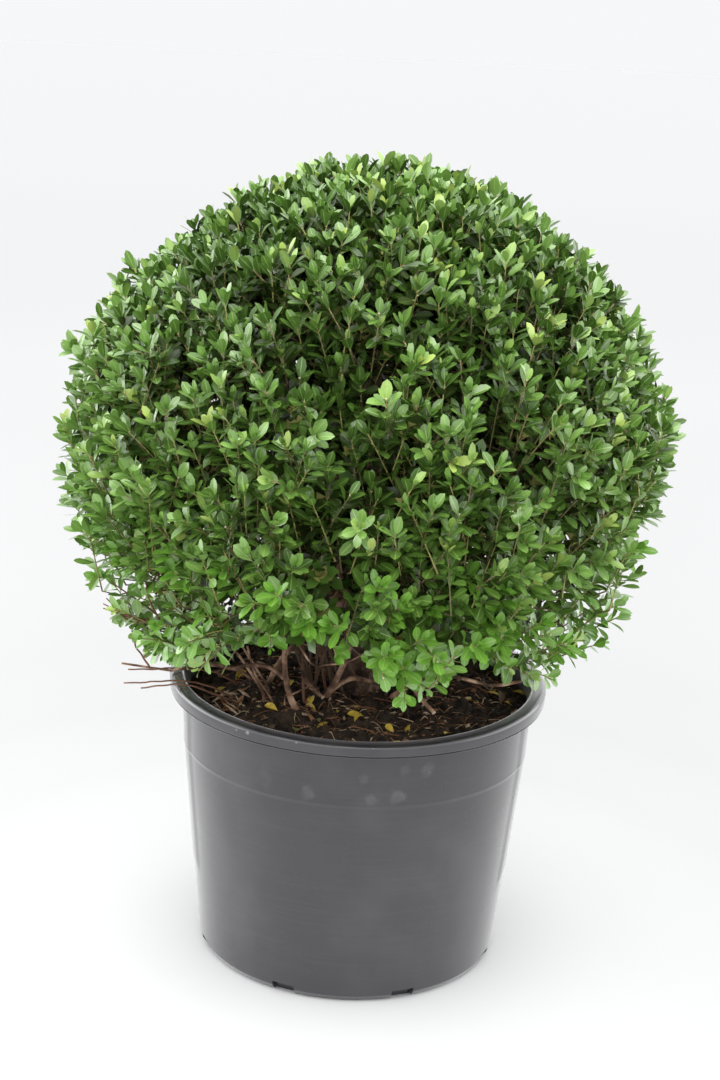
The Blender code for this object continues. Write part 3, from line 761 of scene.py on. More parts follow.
def add_node(tree, kind, *sources, **values):
    """A node with inputs and settings put by name, and its first inputs in turn from sources."""
    node = tree.nodes.new(kind)
    for name, value in values.items():
        if name in node.inputs:
            put(tree, node.inputs[name], value)
        else:
            setattr(node, name, value)
    for socket, value in zip(node.inputs, sources):
        put(tree, socket, value)
    return node


def math_node(tree, operation, *sources, **values):
    return add_node(tree, "ShaderNodeMath", *sources, operation=operation, **values).outputs["Value"]


def object_place(tree):
    return add_node(tree, "ShaderNodeTexCoord").outputs["Object"]


def noise(tree, scale, detail=3.0, stretch=(1.0, 1.0, 1.0)):
    """The grey output of a noise texture in object space, stretched along the axes."""
    mapping = add_node(tree, "ShaderNodeMapping", object_place(tree), Scale=stretch)
    texture = add_node(tree, "ShaderNodeTexNoise", mapping.outputs["Vector"], Scale=scale, Detail=detail)
    return texture.outputs["Fac"]


def ramp(tree, source, *stops):
    """A colour ramp over a grey output. Each stop is a place and a colour or a grey."""
    node = add_node(tree, "ShaderNodeValToRGB", source)
    elements = node.color_ramp.elements
    while len(elements) < len(stops):
        elements.new(0.5)
    for element, (place, colour) in zip(elements, stops):
        element.position = place
        element.color = (colour, colour, colour, 1.0) if isinstance(colour, float) else (*colour, 1.0)
    return node.outputs["Color"]


def mix(tree, factor, first, second):
    node = add_node(tree, "ShaderNodeMix", data_type="RGBA")
    for index, value in ((0, factor), (6, first), (7, second)):
        put(tree, node.inputs[index], value)
    return node.outputs[2]


def bump(tree, height, strength, distance):
    node = add_node(tree, "ShaderNodeBump", Height=height, Strength=strength, Distance=distance)
    return node.outputs["Normal"]


def set_shader(tree, values):
    shader = tree.nodes["Principled BSDF"]
    for name, value in values.items():
        put(tree, shader.inputs[name], value)


def new_material(name, colour, roughness):
    made = bpy.data.materials.new(name)
    made.use_nodes = True
    set_shader(made.node_tree, {"Base Color": colour, "Roughness": roughness})
    return made, made.node_tree


def toned(colour, share):
    return tuple(share * part for part in colour)


def leaf_materials():
    made = []
    for name, (colour, specular, coat, _) in LEAF_SHADES.items():
        material, tree = new_material(name, colour, 0.38)
        set_shader(tree, {
            "Roughness": ramp(tree, noise(tree, 90.0), (0.3, 0.26), (0.7, 0.42)),
            "Base Color": ramp(tree, noise(tree, 48.0, 2.0), (0.35, toned(colour, 0.8)), (0.65, colour)),
            "Specular IOR Level": specular,
            "Coat Weight": coat,
            "Coat Roughness": 0.22,
            "Normal": bump(tree, noise(tree, 700.0, 2.0), 0.12, 0.0004),
        })
        made.append(material)
    return made


def rough_materials(shades, roughness, scale):
    """Matt materials, one for each named colour, mottled by a darker tone of it."""
    made = []
    for name, colour in shades.items():
        material, tree = new_material(name, colour, roughness)
        mottled = ramp(tree, noise(tree, scale), (0.35, toned(colour, 0.6)), (0.65, colour))
        set_shader(tree, {"Base Color": mottled})
        made.append(material)
    return made


def bark_material(name, tone):
    """Furrowed bark, whose colours are scaled by a tone; the trunk's lower tone is painted shade."""
    material, tree = new_material(name, (0.2, 0.14, 0.1), 0.85)
    stops = [(place, toned(colour, tone)) for place, colour in BARK_RAMP]
    ground = ramp(tree, noise(tree, 60.0, 5.0), *stops)
    specks = ramp(tree, noise(tree, 420.0, 2.0), (0.64, 0.0), (0.72, 0.7))
    set_shader(tree, {
        "Base Color": mix(tree, specks, ground, toned(BARK_SPECK, tone)),
        "Normal": bump(tree, noise(tree, 500.0, 4.0), 0.5, 0.0008),
    })
    return material


def soil_material(name, dark, light):
    material, tree = new_material(name, dark, 0.95)
    set_shader(tree, {
        "Base Color": ramp(tree, noise(tree, 110.0, 6.0), (0.35, dark), (0.7, light)),
        "Normal": bump(tree, noise(tree, 420.0, 5.0), 0.8, 0.002),
    })
    return material


def with_marks(tree, colour):
    """The pot's colour with its dust, scuffs and scratch, each with a ragged edge."""
    place = object_place(tree)
    ragged = noise(tree, 150.0, 5.0)
    bend = math_node(tree, "MULTIPLY_ADD", noise(tree, 90.0), 1.8, 0.1)
    for spot, width, strength in POT_MARKS:
        width *= MM
        away = add_node(tree, "ShaderNodeVectorMath", place, MM * np.array(spot), operation="DISTANCE")
        bent = math_node(tree, "MULTIPLY", away.outputs["Value"], bend)
        near = add_node(
            tree, "ShaderNodeMapRange", bent, width, width * 0.4, 0.0, strength,
            interpolation_type="SMOOTHSTEP",
        )
        patchy = math_node(tree, "MULTIPLY", near.outputs["Result"], ragged, use_clamp=True)
        colour = mix(tree, patchy, colour, POT_DUST)
    return colour


def pot_material():
    """Black plastic with dusty patches, faint level lines and marks."""
    material, tree = new_material("pot_plastic", (0.03, 0.029, 0.032), 0.34)
    dust = noise(tree, 14.0, 8.0)
    dusty = ramp(tree, dust, (0.5, 0.0), (0.8, 0.24))
    lines = ramp(tree, noise(tree, 16.0, 4.0, (1.0, 1.0, 22.0)), (0.5, 0.0), (0.72, 0.1))
    grain = noise(tree, 5.0, 3.0, (3.0, 3.0, 0.7))
    colour = ramp(tree, grain, (0.3, (0.016, 0.014, 0.019)), (0.7, (0.022, 0.02, 0.025)))
    colour = mix(tree, dusty, colour, (0.1, 0.096, 0.098))
    colour = mix(tree, lines, colour, (0.08, 0.078, 0.082))
    set_shader(tree, {
        "Base Color": with_marks(tree, colour),
        "Roughness": ramp(tree, dust, (0.3, 0.24), (0.75, 0.36)),
        "Specular IOR Level": 0.6,
        "Coat Weight": 0.8,
        "Coat Roughness": 0.15,
        "Sheen Weight": 0.42,
        "Sheen Roughness": 0.3,
    })
    return material


def floor_material():
    """White paper whose grey follows the distance from the pot, with painted light near the pot and painted
    shade where the lamps fall strongest.
    """
    material, tree = new_material("floor_white", (0.6, 0.6, 0.6), 0.8)
    away = add_node(tree, "ShaderNodeVectorMath", object_place(tree), operation="LENGTH")
    farthest = FLOOR_PAINTED_LIGHT_GREYS[-1][0]
    share = math_node(tree, "DIVIDE", away.outputs["Value"], farthest, use_clamp=True)
    stops = [(reach / farthest, grey) for reach, grey in FLOOR_PAINTED_LIGHT_GREYS]
    set_shader(tree, {"Base Color": ramp(tree, share, *stops)})
    return material


def rounded(corners):
    """A profile whose corners (radius, height, rounding) are replaced by arcs."""
    points = []
    places = [np.array(corner[:2]) for corner in corners]
    for i, (place, corner) in enumerate(zip(places, corners)):
        if i in (0, len(corners) - 1) or corner[2] == 0.0:
            points.append(place)
            continue
        back, ahead = unit(places[i - 1] - place), unit(places[i + 1] - place)
        half = 0.5 * math.acos(max(-1.0, min(1.0, float(back @ ahead))))
        trim = corner[2] / math.tan(half)
        centre = place + unit(back + ahead) * corner[2] / math.sin(half)
        first, last = place + back * trim, place + ahead * trim
        for step in range(CORNER_STEPS + 1):
            spoke = (first - centre) * (1.0 - step / CORNER_STEPS) + (last - centre) * step / CORNER_STEPS
            points.append(centre + unit(spoke) * corner[2])
    return np.array(points)


def densified(profile, longest):
    """The same profile with points added so that none lies further on than longest."""
    rows = [profile[:1]]
    for a, b in zip(profile, profile[1:]):
        steps = max(1, int(math.ceil(np.linalg.norm(b - a) / longest)))
        rows.append(a + (b - a) * (np.arange(1, steps + 1) / steps)[:, None])
    return np.concatenate(rows)


def lathe(profile, segments):
    """Points and triangles of a profile turned about Z, closed at the axis at both ends."""
    inner = profile[1:-1]
    rings = circle(TURN * np.arange(segments) / segments, inner[:, :1], inner[:, 1:])
    low = np.arange(segments)
    high = (low + 1) % segments
    first = len(inner) * segments
    last = first - segments
    caps = [
        np.stack((0 * low + first, high, low), -1),
        np.stack((0 * low + first + 1, last + low, last + high), -1),
    ]
    points = np.concatenate((rings.reshape(-1, 3), UP * profile[[0, -1], 1:]))
    return points, np.concatenate(bands(len(inner), segments) + caps)


def pot_profile():
    """The pot's corners and their roundings, from under its floor up and round to the inside."""
    inner = COLLAR_RADIUS - POT_WALL
    corners = [
        (0.0, 0.0, 0.0),
        (FOOT_RADIUS, 0.0, 0.0016),
        (BODY_RADIUS, CHAMFER_HEIGHT, 0.006),
        (*SHOULDER_LOW, 0.004),
    ]
    for radius, height, rows in (
        (*SHOULDER_HIGH, SHOULDER_CORNERS), (COLLAR_RADIUS, LIP_BOTTOM, COLLAR_CORNERS),
        (LIP_RADIUS, LIP_BOTTOM, LIP_CORNERS),
    ):
        corners += [(radius + out * MM, height + up * MM, rounding * MM) for out, up, rounding in rows]
    return corners + [
        (LIP_RADIUS, POT_HEIGHT, 0.005),
        (inner + 0.004, POT_HEIGHT, 0.005),
        (inner, LIP_BOTTOM, 0.002),
        (SHOULDER_HIGH[0] - POT_WALL, SHOULDER_HIGH[1], 0.004),
        (SHOULDER_LOW[0] - POT_WALL, SHOULDER_LOW[1], 0.006),
        (BODY_RADIUS - POT_WALL, POT_FLOOR, 0.001),
        (0.0, POT_FLOOR, 0.0),
    ]


def make_pot(material):
    points, triangles = lathe(densified(rounded(pot_profile()), POT_STEP), POT_SEGMENTS)
    angle = np.arctan2(points[:, 1], points[:, 0])
    radius = np.hypot(points[:, 0], points[:, 1])
    height = points[:, 2]
    wall = np.interp(height, (0.0, POT_HEIGHT), (FOOT_RADIUS, COLLAR_RADIUS))
    from_side = np.abs((angle + 0.25 * TURN) % (0.5 * TURN) - 0.25 * TURN)
    grip = smooth_step(GRIP_HALF_ANGLE, GRIP_HALF_ANGLE - GRIP_EDGE, from_side)
    grip *= smooth_step(*GRIP_START, height) * (height < GRIP_END) * (radius > wall - OUTER_MARGIN)
    points[:, :2] *= ((radius + GRIP_RAISE * grip) / np.maximum(radius, TINY))[:, None]
    front = np.maximum(-np.sin(angle), 0.0) ** 2
    points[:, 2] -= LIP_SAG * front * smooth_step(LIP_SAG_START, POT_HEIGHT, height)
    pot = add_mesh("pot_shell", [material], points, triangles)
    cut_drains(pot)
    dress(pot, "pot", "pot")


def cut_drains(pot):
    """Cuts the notches where water drains out of the corner of wall and floor."""
    box = np.array([(x, y, z) for x in (-1.0, 1.0) for y in (-1.0, 1.0) for z in (-1.0, 1.0)])
    faces = (
        (0, 1, 3), (0, 3, 2), (4, 6, 7), (4, 7, 5), (0, 4, 5), (0, 5, 1),
        (2, 3, 7), (2, 7, 6), (0, 2, 6), (0, 6, 4), (1, 5, 7), (1, 7, 3),
    )
    out, side, up = (box * DRAIN_HALVES).T[..., None]
    ahead = circle((np.arange(DRAIN_COUNT) + 0.5) * TURN / DRAIN_COUNT)[:, None]
    points = ahead * (DRAIN_RADIUS + out) + np.cross(UP, ahead) * side + UP * up
    triangles = repeated(faces, DRAIN_COUNT, len(box))
    cutter = add_mesh("drain_cutter", [], points.reshape(-1, 3), triangles, smooth=False)
    fit = pot.modifiers.new("drains", "BOOLEAN")
    fit.operation = "DIFFERENCE"
    fit.object = cutter
    bpy.context.view_layer.update()
    finished = bpy.data.meshes.new_from_object(pot.evaluated_get(bpy.context.evaluated_depsgraph_get()))
    pot.modifiers.clear()
    pot.data = finished
    bpy.data.objects.remove(cutter)
    pot.data.set_sharp_from_angle(angle=SHARP_ANGLE)


def limb_mesh(path, radii, sides, rng, relief=LIMB_RELIEF):
    """A tapering limb along a path with lumps and furrows of bark, closed at both ends."""
    points, triangles = tubes(path[None], radii[None], sides)
    centres = np.repeat(path, sides, axis=0)
    lumps = sum(share * waves(points, width, rng) for width, share in BARK_LUMPS)
    width, stretch = BARK_GRAIN
    ridges = 1.0 - 2.0 * np.abs(waves(points * stretch, width, rng))
    lump_share, ridge_share = BARK_SHARES
    height = 1.0 + relief * (lump_share * lumps + ridge_share * ridges)
    return centres + (points - centres) * height[:, None], triangles


def taper(first, last, share, flare=0.0):
    return (first + (last - first) * share**0.8) * (1.0 + flare * np.exp(-FLARE_FALL * share))


def trunk_at(share):
    """The trunk's axis and radius at shares of its length."""
    pull = UP * TRUNK_PULL
    axis = bezier(TRUNK_BASE, TRUNK_BASE + pull, TRUNK_TOP - pull, TRUNK_TOP, share)
    return axis, taper(TRUNK_RADIUS, TRUNK_TIP_RADIUS, share, TRUNK_FLARE)


def fork_foot(height, out):
    """Where a bough's foot stands on the trunk, as in the solids."""
    levels = height + BOUGH_RADIUS * (1.0 + BOUGH_FLARE) * np.array((0.0, -1.0, 1.0))
    share = (levels - TRUNK_BASE[2]) / (TRUNK_TOP[2] - TRUNK_BASE[2])
    centres, radii = trunk_at(share[:, None])
    reach = ((centres - centres[0]) @ out + radii[:, 0]).max()
    return centres[0] + out * (reach + 2.0 * CLEARANCE)


def bough_curve(name, own):
    """The ends, pulls, radius, flare and kind of a mass's bough, as in the solids."""
    face = CROWN_CENTRE + own * crown_reach(own) * CORE_INNER_SHARE
    along = unit(face - UP * BOUGH_ORIGIN)
    end = face - along * STEM_LENGTH - along * CLEARANCE
    span = np.linalg.norm(end - TRUNK_BASE)
    kind, radius, flare, (leaving, arriving) = "bough", BOUGH_RADIUS, BOUGH_FLARE, BOUGH_PULLS
    if name in SOIL_STEMS:
        foot, radius, lean = SOIL_STEMS[name]
        kind, flare, (leaving, arriving) = "stem", STEM_FLARE, STEM_PULLS
        start_pull = lean * span * leaving
    elif name == "top":
        foot = TRUNK_TOP + UP * CLEARANCE
        radius, flare, (leaving, arriving) = TRUNK_TIP_RADIUS * TOP_BOUGH_SHARE, 0.0, TOP_PULLS
        start_pull = UP * leaving
    else:
        out = unit(own * LEVEL)
        foot = fork_foot(UPPER_FORK if own[2] > 0.0 else LOWER_FORK, out)
        start_pull = (out + UP * BOUGH_RISE) * span * leaving
    return (foot, foot + start_pull, end - along * span * arriving, end), radius, flare, kind


def make_limbs(trunk_material, material, rng):
    """The bark of the trunk, the boughs, the stems and the bare branch, and the boughs' ends."""
    path, radii = trunk_at(np.linspace(0.0, 1.0, TRUNK_STEPS)[:, None])
    trunk = limb_mesh(path, radii[:, 0], TRUNK_SIDES, rng)
    dress(add_mesh("trunk_bark", [trunk_material], *trunk), "bark", "trunk")
    ends = []
    share = np.linspace(0.0, 1.0, BOUGH_STEPS)
    for name, own in zip(MASSES, mass_headings()):
        corners, radius, flare, kind = bough_curve(name, own)
        slim = STEM_SLIM if kind == "stem" else 1.0
        radii = taper(radius, BOUGH_TIP_RADIUS, share, flare) * slim
        limb = limb_mesh(bezier(*corners, share[:, None]), radii, BOUGH_SIDES, rng)
        dress(add_mesh(f"{kind}_{name}_bark", [material], *limb), "bark", f"{kind}_{name}")
        ends.append(corners[-1])
    share = np.linspace(0.0, 1.0, TRUNK_STEPS)[:, None]
    path = bezier(BARE_FOOT, BARE_FOOT + UP * BARE_LIFT, BARE_REST + BARE_PULL, BARE_REST, share)
    share = np.linspace(*BARE_END_SHARES)[:, None]
    path = np.concatenate((path, BARE_REST + (BARE_END - BARE_REST) * share))
    radii = BARE_SLIM * taper(BARE_RADIUS, BARE_RADIUS * BARE_TAPER, np.linspace(0.0, 1.0, len(path)))
    bare = limb_mesh(path, radii, BRANCH_SIDES, rng)
    dress(add_mesh("bare_branch_bark", [material], *bare), "bark", "bare_branch")
    return np.array(ends)


def skirt_floor(points):
    """How low the foliage hangs below each point: lowest at the rim, a vault towards the trunk."""
    angles, heights = np.array(SKIRT).T
    radius = np.hypot(points[:, 0], points[:, 1])
    edge = np.interp(np.degrees(np.arctan2(points[:, 1], points[:, 0])), angles, heights * MM)
    outside = np.maximum(radius - SKIRT_TURN, 0.0)
    return edge + SKIRT_VAULT * drop(radius, SKIRT_RADIUS, SKIRT_RADIUS) + SKIRT_SLOPE * outside


def placed(way, table):
    """The sum of a table's soft patches at each direction."""
    total = np.zeros(len(way))
    for azimuth, elevation, width, amount in table:
        apart = np.degrees(np.arccos(np.clip(way @ heading(azimuth, elevation), -1.0, 1.0)))
        total += amount * np.exp(-((apart / width) ** 2))
    return total


def base_of(tip, axis, length):
    """Where shoots start, from their tips' places, their ways and their lengths."""
    return tip - (axis + UP * SHOOT_SAG) * length[:, None]


def chosen(shoots, keep):
    return {key: value[keep] for key, value in shoots.items()}


def grow_layer(layer, seeds, rng):
    """One layer's shoots: where each starts and ends, its way, its leaves and whether it is cut."""
    count, tips, leaves = LAYERS[layer]
    way = jittered(count, SHOOT_JITTER, rng)
    clump, hollow = (
        waves(way, width, np.random.default_rng(seed))
        for width, seed in zip((CLUMP_WIDTH, HOLLOW_WIDTH), seeds)
    )
    reach = crown_reach(way)
    share = rng.uniform(*tips, count) + CLUMP_HEIGHT * np.clip(clump, -1.5, 1.0)
    share -= HOLLOW_DEPTH * drop(hollow, HOLLOW_START, 1.0)
    if layer < 2:
        share += MM * placed(way, RELIEF) / reach
    bare, ragged = HOLLOW_BARE
    keep = hollow > bare - rng.uniform(0.0, ragged, count)
    if layer == 0:
        share += np.where(rng.random(count) < PROUD_SHARE, PROUD_STEP, 0.0)
    tip = CROWN_CENTRE + way * (reach * share)[:, None]
    low = drop(way[:, 2:], *LOW_WAY)
    out = unit(way * np.array((1.0, 1.0, 0.2)))
    lift = rng.uniform(*SHOOT_LIFT, (count, 1)) * (1.0 - LOW_LIFT * low)
    axis = unit(way * (1.0 - low) + out * low + UP * lift)
    axis = unit(axis + rng.normal(size=(count, 3)) * SHOOT_WANDER)
    length = rng.uniform(*SHOOT_LENGTH, count)
    foot = base_of(tip, axis, length)
    raised = np.maximum(skirt_floor(foot) + SKIRT_COVER - foot[:, 2], 0.0)[:, None]
    axis = unit(axis * length[:, None] - UP * raised)
    number = rng.integers(leaves[0], leaves[1] + 1, count)
    keep &= tip[:, 2] > skirt_floor(tip) + rng.uniform(-1.0, 1.0, count) * SKIRT_RAGGED
    side = smooth_step(*SIDE_WAYS, np.abs(way[:, 0]))
    thin = drop(tip[:, 2], OPEN_HEIGHT + OPEN_RISE * side, OPEN_DEPTH)
    thin *= OPEN_MIDDLE + (1.0 - OPEN_MIDDLE) * side
    keep &= rng.random(count) > OPEN_SHARES[min(layer, 1)] * thin
    shoots = dict(way=way, tip=tip, axis=axis, length=length, number=number, share=share)
    shoots["base"] = base_of(tip, axis, length)
    shoots["layer"] = np.full(count, layer)
    shoots["clipped"] = (rng.random(count) < CLIPPED_SHARE) & (layer == 0)
    return chosen(shoots, keep)


def grow_shoots(rng):
    """All shoots of the four layers, each with its mass and its leaves' first turn."""
    seeds = rng.integers(1, 1000, 2)
    rows = [grow_layer(layer, seeds, rng) for layer in range(len(LAYERS))]
    shoots = {key: np.concatenate([row[key] for row in rows]) for key in rows[0]}
    shoots["mass"] = mass_of(shoots["way"])
    shoots["turn"] = rng.uniform(0.0, TURN, len(shoots["mass"]))
    return shoots


def with_sprays(shoots):
    """The shoots together with the hanging sprays."""
    count = len(SPRAYS)
    own = np.random.default_rng(SEED)
    axis = unit(SPRAY_WAY + own.normal(size=(count, 3)) * SPRAY_SPREAD)
    way = unit(SPRAYS - CROWN_CENTRE)
    length = np.full(count, SPRAY_LENGTH)
    more = dict(
        way=way, tip=SPRAYS, axis=axis, length=length, number=np.full(count, SPRAY_LEAVES),
        base=base_of(SPRAYS, axis, length), layer=np.zeros(count, int), clipped=np.zeros(count, bool),
        share=np.linalg.norm(SPRAYS - CROWN_CENTRE, axis=1) / crown_reach(way),
        mass=mass_of(way), turn=own.uniform(0.0, TURN, count),
    )
    return {key: np.concatenate((value, more[key])) for key, value in shoots.items()}


def clear_of_gaps(shoots):
    """Which shoots stay clear of the lines of sight that the sky shows through."""
    eye = np.array(CAMERA_PLACE)
    clear = np.ones(len(shoots["tip"]), bool)
    for side, height, reach in MM * np.array(SKY_GAPS):
        sight = unit(np.array((side, 0.0, height)) - eye)
        for share in GAP_SHARES:
            place = shoots["base"] + (shoots["tip"] - shoots["base"]) * share - eye
            clear &= np.linalg.norm(place - (place @ sight)[:, None] * sight, axis=1) > reach
    return clear


def shoot_shades(shoots, rng):
    """The shades of each shoot's grown leaves and of its tip leaves."""
    count = len(shoots["layer"])
    low = drop(shoots["tip"][:, 2], *LOW_HEIGHT)
    side = shoots["way"][:, 0] ** 2
    # Leaves are drawn lighter at the sides and low down, and lighter or darker in zones: painted light and
    # painted shade
    draw = rng.random(count) + SIDE_PAINTED_LIGHT * side + LOW_PAINTED_LIGHT * low + placed(shoots["way"], PAINTED_LIGHT_ZONES)
    grown = np.select([draw < DARK_DRAW, draw < GREEN_DRAW], [DARK, GREEN], MID)
    # Low leaves are often a fresh green, partly their own colour and partly painted light
    fresh_and_lit = rng.random(count) < FRESH_AND_LIT_SHARE * low
    grown = np.where(fresh_and_lit, FRESH_AND_LIT, grown)
    # Inner shoots and those in the hollows get darker leaves and plain tips, painted shade; low ones among
    # them stay lighter, painted light
    inner = (shoots["layer"] > 0) | (shoots["share"] < SHADED_SHARE)
    lit = low * rng.random(count) > LIT_DRAW
    grown = np.where(inner, np.minimum(grown, np.where(lit, GREEN, DARK)), grown)
    grown = np.where(shoots["layer"] > 1, np.where(lit, DARK, SHADOW), grown)
    tip = np.where(fresh_and_lit, FRESH_AND_LIT, np.minimum(grown + 1, MID))
    # Low down at the sides more tips are bright: painted light
    spring = rng.random(count) + LOW_SPRING * low * (1.0 - SIDE_SPRING_PAINTED_LIGHT * side)
    tip = np.where(spring < BRIGHT_SHARE, BRIGHT, tip)
    tip = np.where(spring < YOUNG_SHARE, YOUNG, tip)
    return grown, np.where(inner, grown, tip)


def leaf_shades(shade, parts):
    """The shade of every triangle of leaves with the given blades: stalk, blade and midrib."""
    kinds = np.stack((np.full_like(shade, FOOT), shade, VEIN_SHADES[shade]))
    return kinds[parts].T.ravel()


def lengthened(table, count):
    """A table's values for so many places, the last one for all the rest."""
    return np.array(table)[np.minimum(np.arange(count), len(table) - 1)]


def make_leaves(shoots, materials, rng):
    """The leaves of every shoot, joined by mass, the outer layer's apart from the rest."""
    most = int(shoots["number"].max())
    k = np.arange(most)[None]
    loose = smooth_step(*LOOSE_HEIGHT, shoots["tip"][:, 2])
    stretch = shoots["length"] / LEAFY_LENGTH * rng.uniform(*LEAFY_SPREAD, len(loose))
    gaps = MM * lengthened(LEAF_GAPS, most)
    down = np.cumsum(gaps)[None] * stretch[:, None] + LOOSE_GAP * k * loose[:, None]
    share = down / shoots["length"][:, None]
    grown, young = shoot_shades(shoots, rng)
    present = (k < shoots["number"][:, None]) & (share < LEAFY_SHARE)
    present &= rng.random(share.shape) > MISSING_SHARE
    present &= ~(shoots["clipped"][:, None] & (k < 2))
    shoot, order = np.nonzero(present)
    count, loose, axis = len(order), loose[shoot], shoots["axis"][shoot]
    root = shoots["tip"][shoot] - axis * down[shoot, order][:, None]
    root -= UP * (SHOOT_SAG * shoots["length"][shoot] * share[shoot, order] ** 2)[:, None]
    first, step, widest = LEAF_OPENING
    opening = np.minimum(first + step * order, widest) + rng.normal(size=count) * OPENING_SPREAD
    opening = (opening + LOOSE_OPENING * loose)[:, None]
    turn = shoots["turn"][shoot] + order * GOLDEN_ANGLE + rng.normal(size=count) * ROUND_SPREAD
    along = unit(axis * np.cos(opening) + across(axis, turn) * np.sin(opening))
    flat = drop(shoots["way"][shoot][:, 2:], *LOW_WAY)
    inward, upward, more_upward = FACE_PULLS
    spread, more_spread = FACE_SPREADS
    face = square_to(axis, along) * inward + UP * (upward + more_upward * flat)
    face = square_to(face + rng.normal(size=face.shape) * (spread + more_spread * flat), along)
    inner = shoots["layer"][shoot] > 0
    growth = lengthened(LEAF_GROWTH, most)[order] * np.where(inner, INNER_GROWTH, 1.0)
    size = growth * rng.uniform(*LEAF_SIZES, count) * (1.0 + SKIRT_GROWTH * flat[:, 0])
    length = LEAF_LENGTH * size * (1.0 + LOOSE_LONGER * loose)
    width = LEAF_WIDTH * size * rng.uniform(*LEAF_WIDTHS, count) * (1.0 + LOOSE_WIDER * loose)
    fold = LEAF_FOLD * rng.uniform(*LEAF_FOLDS, count) * (1.0 + TIP_FOLD * (order < 2))
    curl = rng.uniform(*LEAF_CURLS, count)
    shade = np.where(order < rng.integers(*TIP_LEAVES, len(young))[shoot], young[shoot], grown[shoot])
    older = (order > OLD_ORDER) & (shade > 0) & (shade < FRESH_AND_LIT)
    shade = np.where(older & (rng.random(count) < OLD_SHARE), shade - 1, shade)
    end = root + along * length[:, None]
    reach = np.linalg.norm(end - CROWN_CENTRE, axis=-1) / crown_reach(unit(end - CROWN_CENTRE))
    keep = (reach < LEAF_REACH) & (np.minimum(end[:, 2], root[:, 2]) > skirt_floor(end) - SKIRT_HANG)
    mass = shoots["mass"][shoot]
    for kind, form, of_kind in (("leaves", OUTER_LEAF, ~inner), ("inner_leaves", INNER_LEAF, inner)):
        for index, name in enumerate(MASSES):
            own = keep & of_kind & (mass == index)
            rows = [values[own] for values in (root, along, face, length, width, fold, curl)]
            triangles, parts = leaf_triangles(int(own.sum()), *form)
            shape = (leaf_points(*rows, *form), triangles, leaf_shades(shade[own], parts))
            dress(add_mesh(f"{kind}_{name}", materials, *shape), "foliage", f"foliage_{name}")


def nearest(points, targets):
    """The index of the nearest target to each point, and how far away it is."""
    apart = np.linalg.norm(points[:, None] - targets, axis=-1)
    return apart.argmin(-1), apart.min(-1)


def fork_nodes(ends, rng):
    """The crown's forks, level by level, each tied to the nearest fork of the level before."""
    before = dict(place=ends, way=unit(ends - UP * BOUGH_ORIGIN), mass=np.arange(len(ends)))
    levels = []
    for count, share, radii in FORKS:
        way = jittered(count, FORK_JITTER, rng)
        place = CROWN_CENTRE + way * (crown_reach(way) * share * rng.uniform(*FORK_SPREAD, count))[:, None]
        keep = place[:, 2] > skirt_floor(place) - FORK_COVER
        way, place = way[keep], place[keep]
        parent = nearest(place, before["place"])[0] if levels else mass_of(way)
        mass, start, leave = (before[key][parent] for key in ("mass", "place", "way"))
        before = dict(way=way, place=place, mass=mass, start=start, leave=leave, radii=radii)
        levels.append(before)
    return levels


def basal_stems(level, rng):
    """The thin bare stems from the soil to some of a level's forks, and which forks they are."""
    basal = np.flatnonzero(level["place"][:, 2] < BASAL_HEIGHT)
    basal = rng.choice(basal, min(BASAL_COUNT, len(basal)), replace=False)
    end, out = level["place"][basal], level["way"][basal]
    turn = np.arctan2(end[:, 1], end[:, 0]) + rng.normal(size=len(end)) * BASAL_STRAY
    foot = circle(turn, rng.uniform(*BASAL_SPREAD, len(end)), SOIL_TOP - BASAL_DEPTH)
    side, front = BASAL_HOLLOW
    foot[:, 1] = np.where(foot[:, 0] > side, np.maximum(foot[:, 1], front), foot[:, 1])
    leaving, arriving = BASAL_PULLS
    start_pull = foot + (unit(out * LEVEL) * BASAL_LEAN + UP) * leaving
    end_pull = end - unit(out + UP * BASAL_RISE) * arriving
    return curves(foot, start_pull, end_pull, end, BASAL_STEPS), basal


def make_twigs(shoots, levels, parent, materials, rng):
    """Forks from each bough's end to every shoot, and the shoots' own stems, by mass."""
    shapes = [[] for _ in MASSES]

    def share_out(paths, radii, mass, sides, shades):
        shades = np.broadcast_to(shades, len(paths))
        radii = np.linspace(*radii, paths.shape[1])[None] * rng.uniform(*TWIG_SPREAD, (len(paths), 1))
        for index, rows in enumerate(shapes):
            for shade in np.unique(shades):
                own = (mass == index) & (shades == shade)
                if own.any():
                    rows.append((*tubes(paths[own], radii[own], sides), shade))

    for level, sides in zip(levels, FORK_SIDES):
        paths = spread_curves(level["start"], level["leave"], level["place"], level["way"], sides + 1, rng)
        share_out(paths, level["radii"], level["mass"], sides, BROWN)
    place, way, mass = (
        np.concatenate([level[key] for level in levels])[parent] for key in ("place", "way", "mass")
    )
    base, tip, axis, length, cut = (shoots[key] for key in ("base", "tip", "axis", "length", "clipped"))
    paths = spread_curves(place, unit(way + unit(base - place)), base, axis, 4, rng)
    share_out(paths, CONNECTOR_RADII, mass, 3, BROWN)
    length = length[:, None]
    leaving, arriving = SHOOT_PULLS
    start_pull = base + (axis + UP * SHOOT_SAG) * length * leaving
    paths = curves(base, start_pull, tip - axis * length * arriving, tip, 4)
    shades = rng.choice(list(SHOOT_TWIG_SHADES), len(tip), p=list(SHOOT_TWIG_SHADES.values()))
    share_out(paths, SHOOT_RADII, mass, 3, shades)
    start, end = tip[cut], tip[cut] + axis[cut] * CAP_LENGTH
    share_out(curves(start, start, end, end, 2), CAP_RADII, mass[cut], 5, CUT)
    paths, basal = basal_stems(levels[1], rng)
    shades = rng.choice((BROWN, BROWN, RED, BROWN), len(basal))
    share_out(paths, BASAL_RADII, levels[1]["mass"][basal], 6, shades)
    for rows, name in zip(shapes, MASSES):
        dress(add_mesh(f"twigs_{name}", materials, *joined(rows)), "bark", f"foliage_{name}")


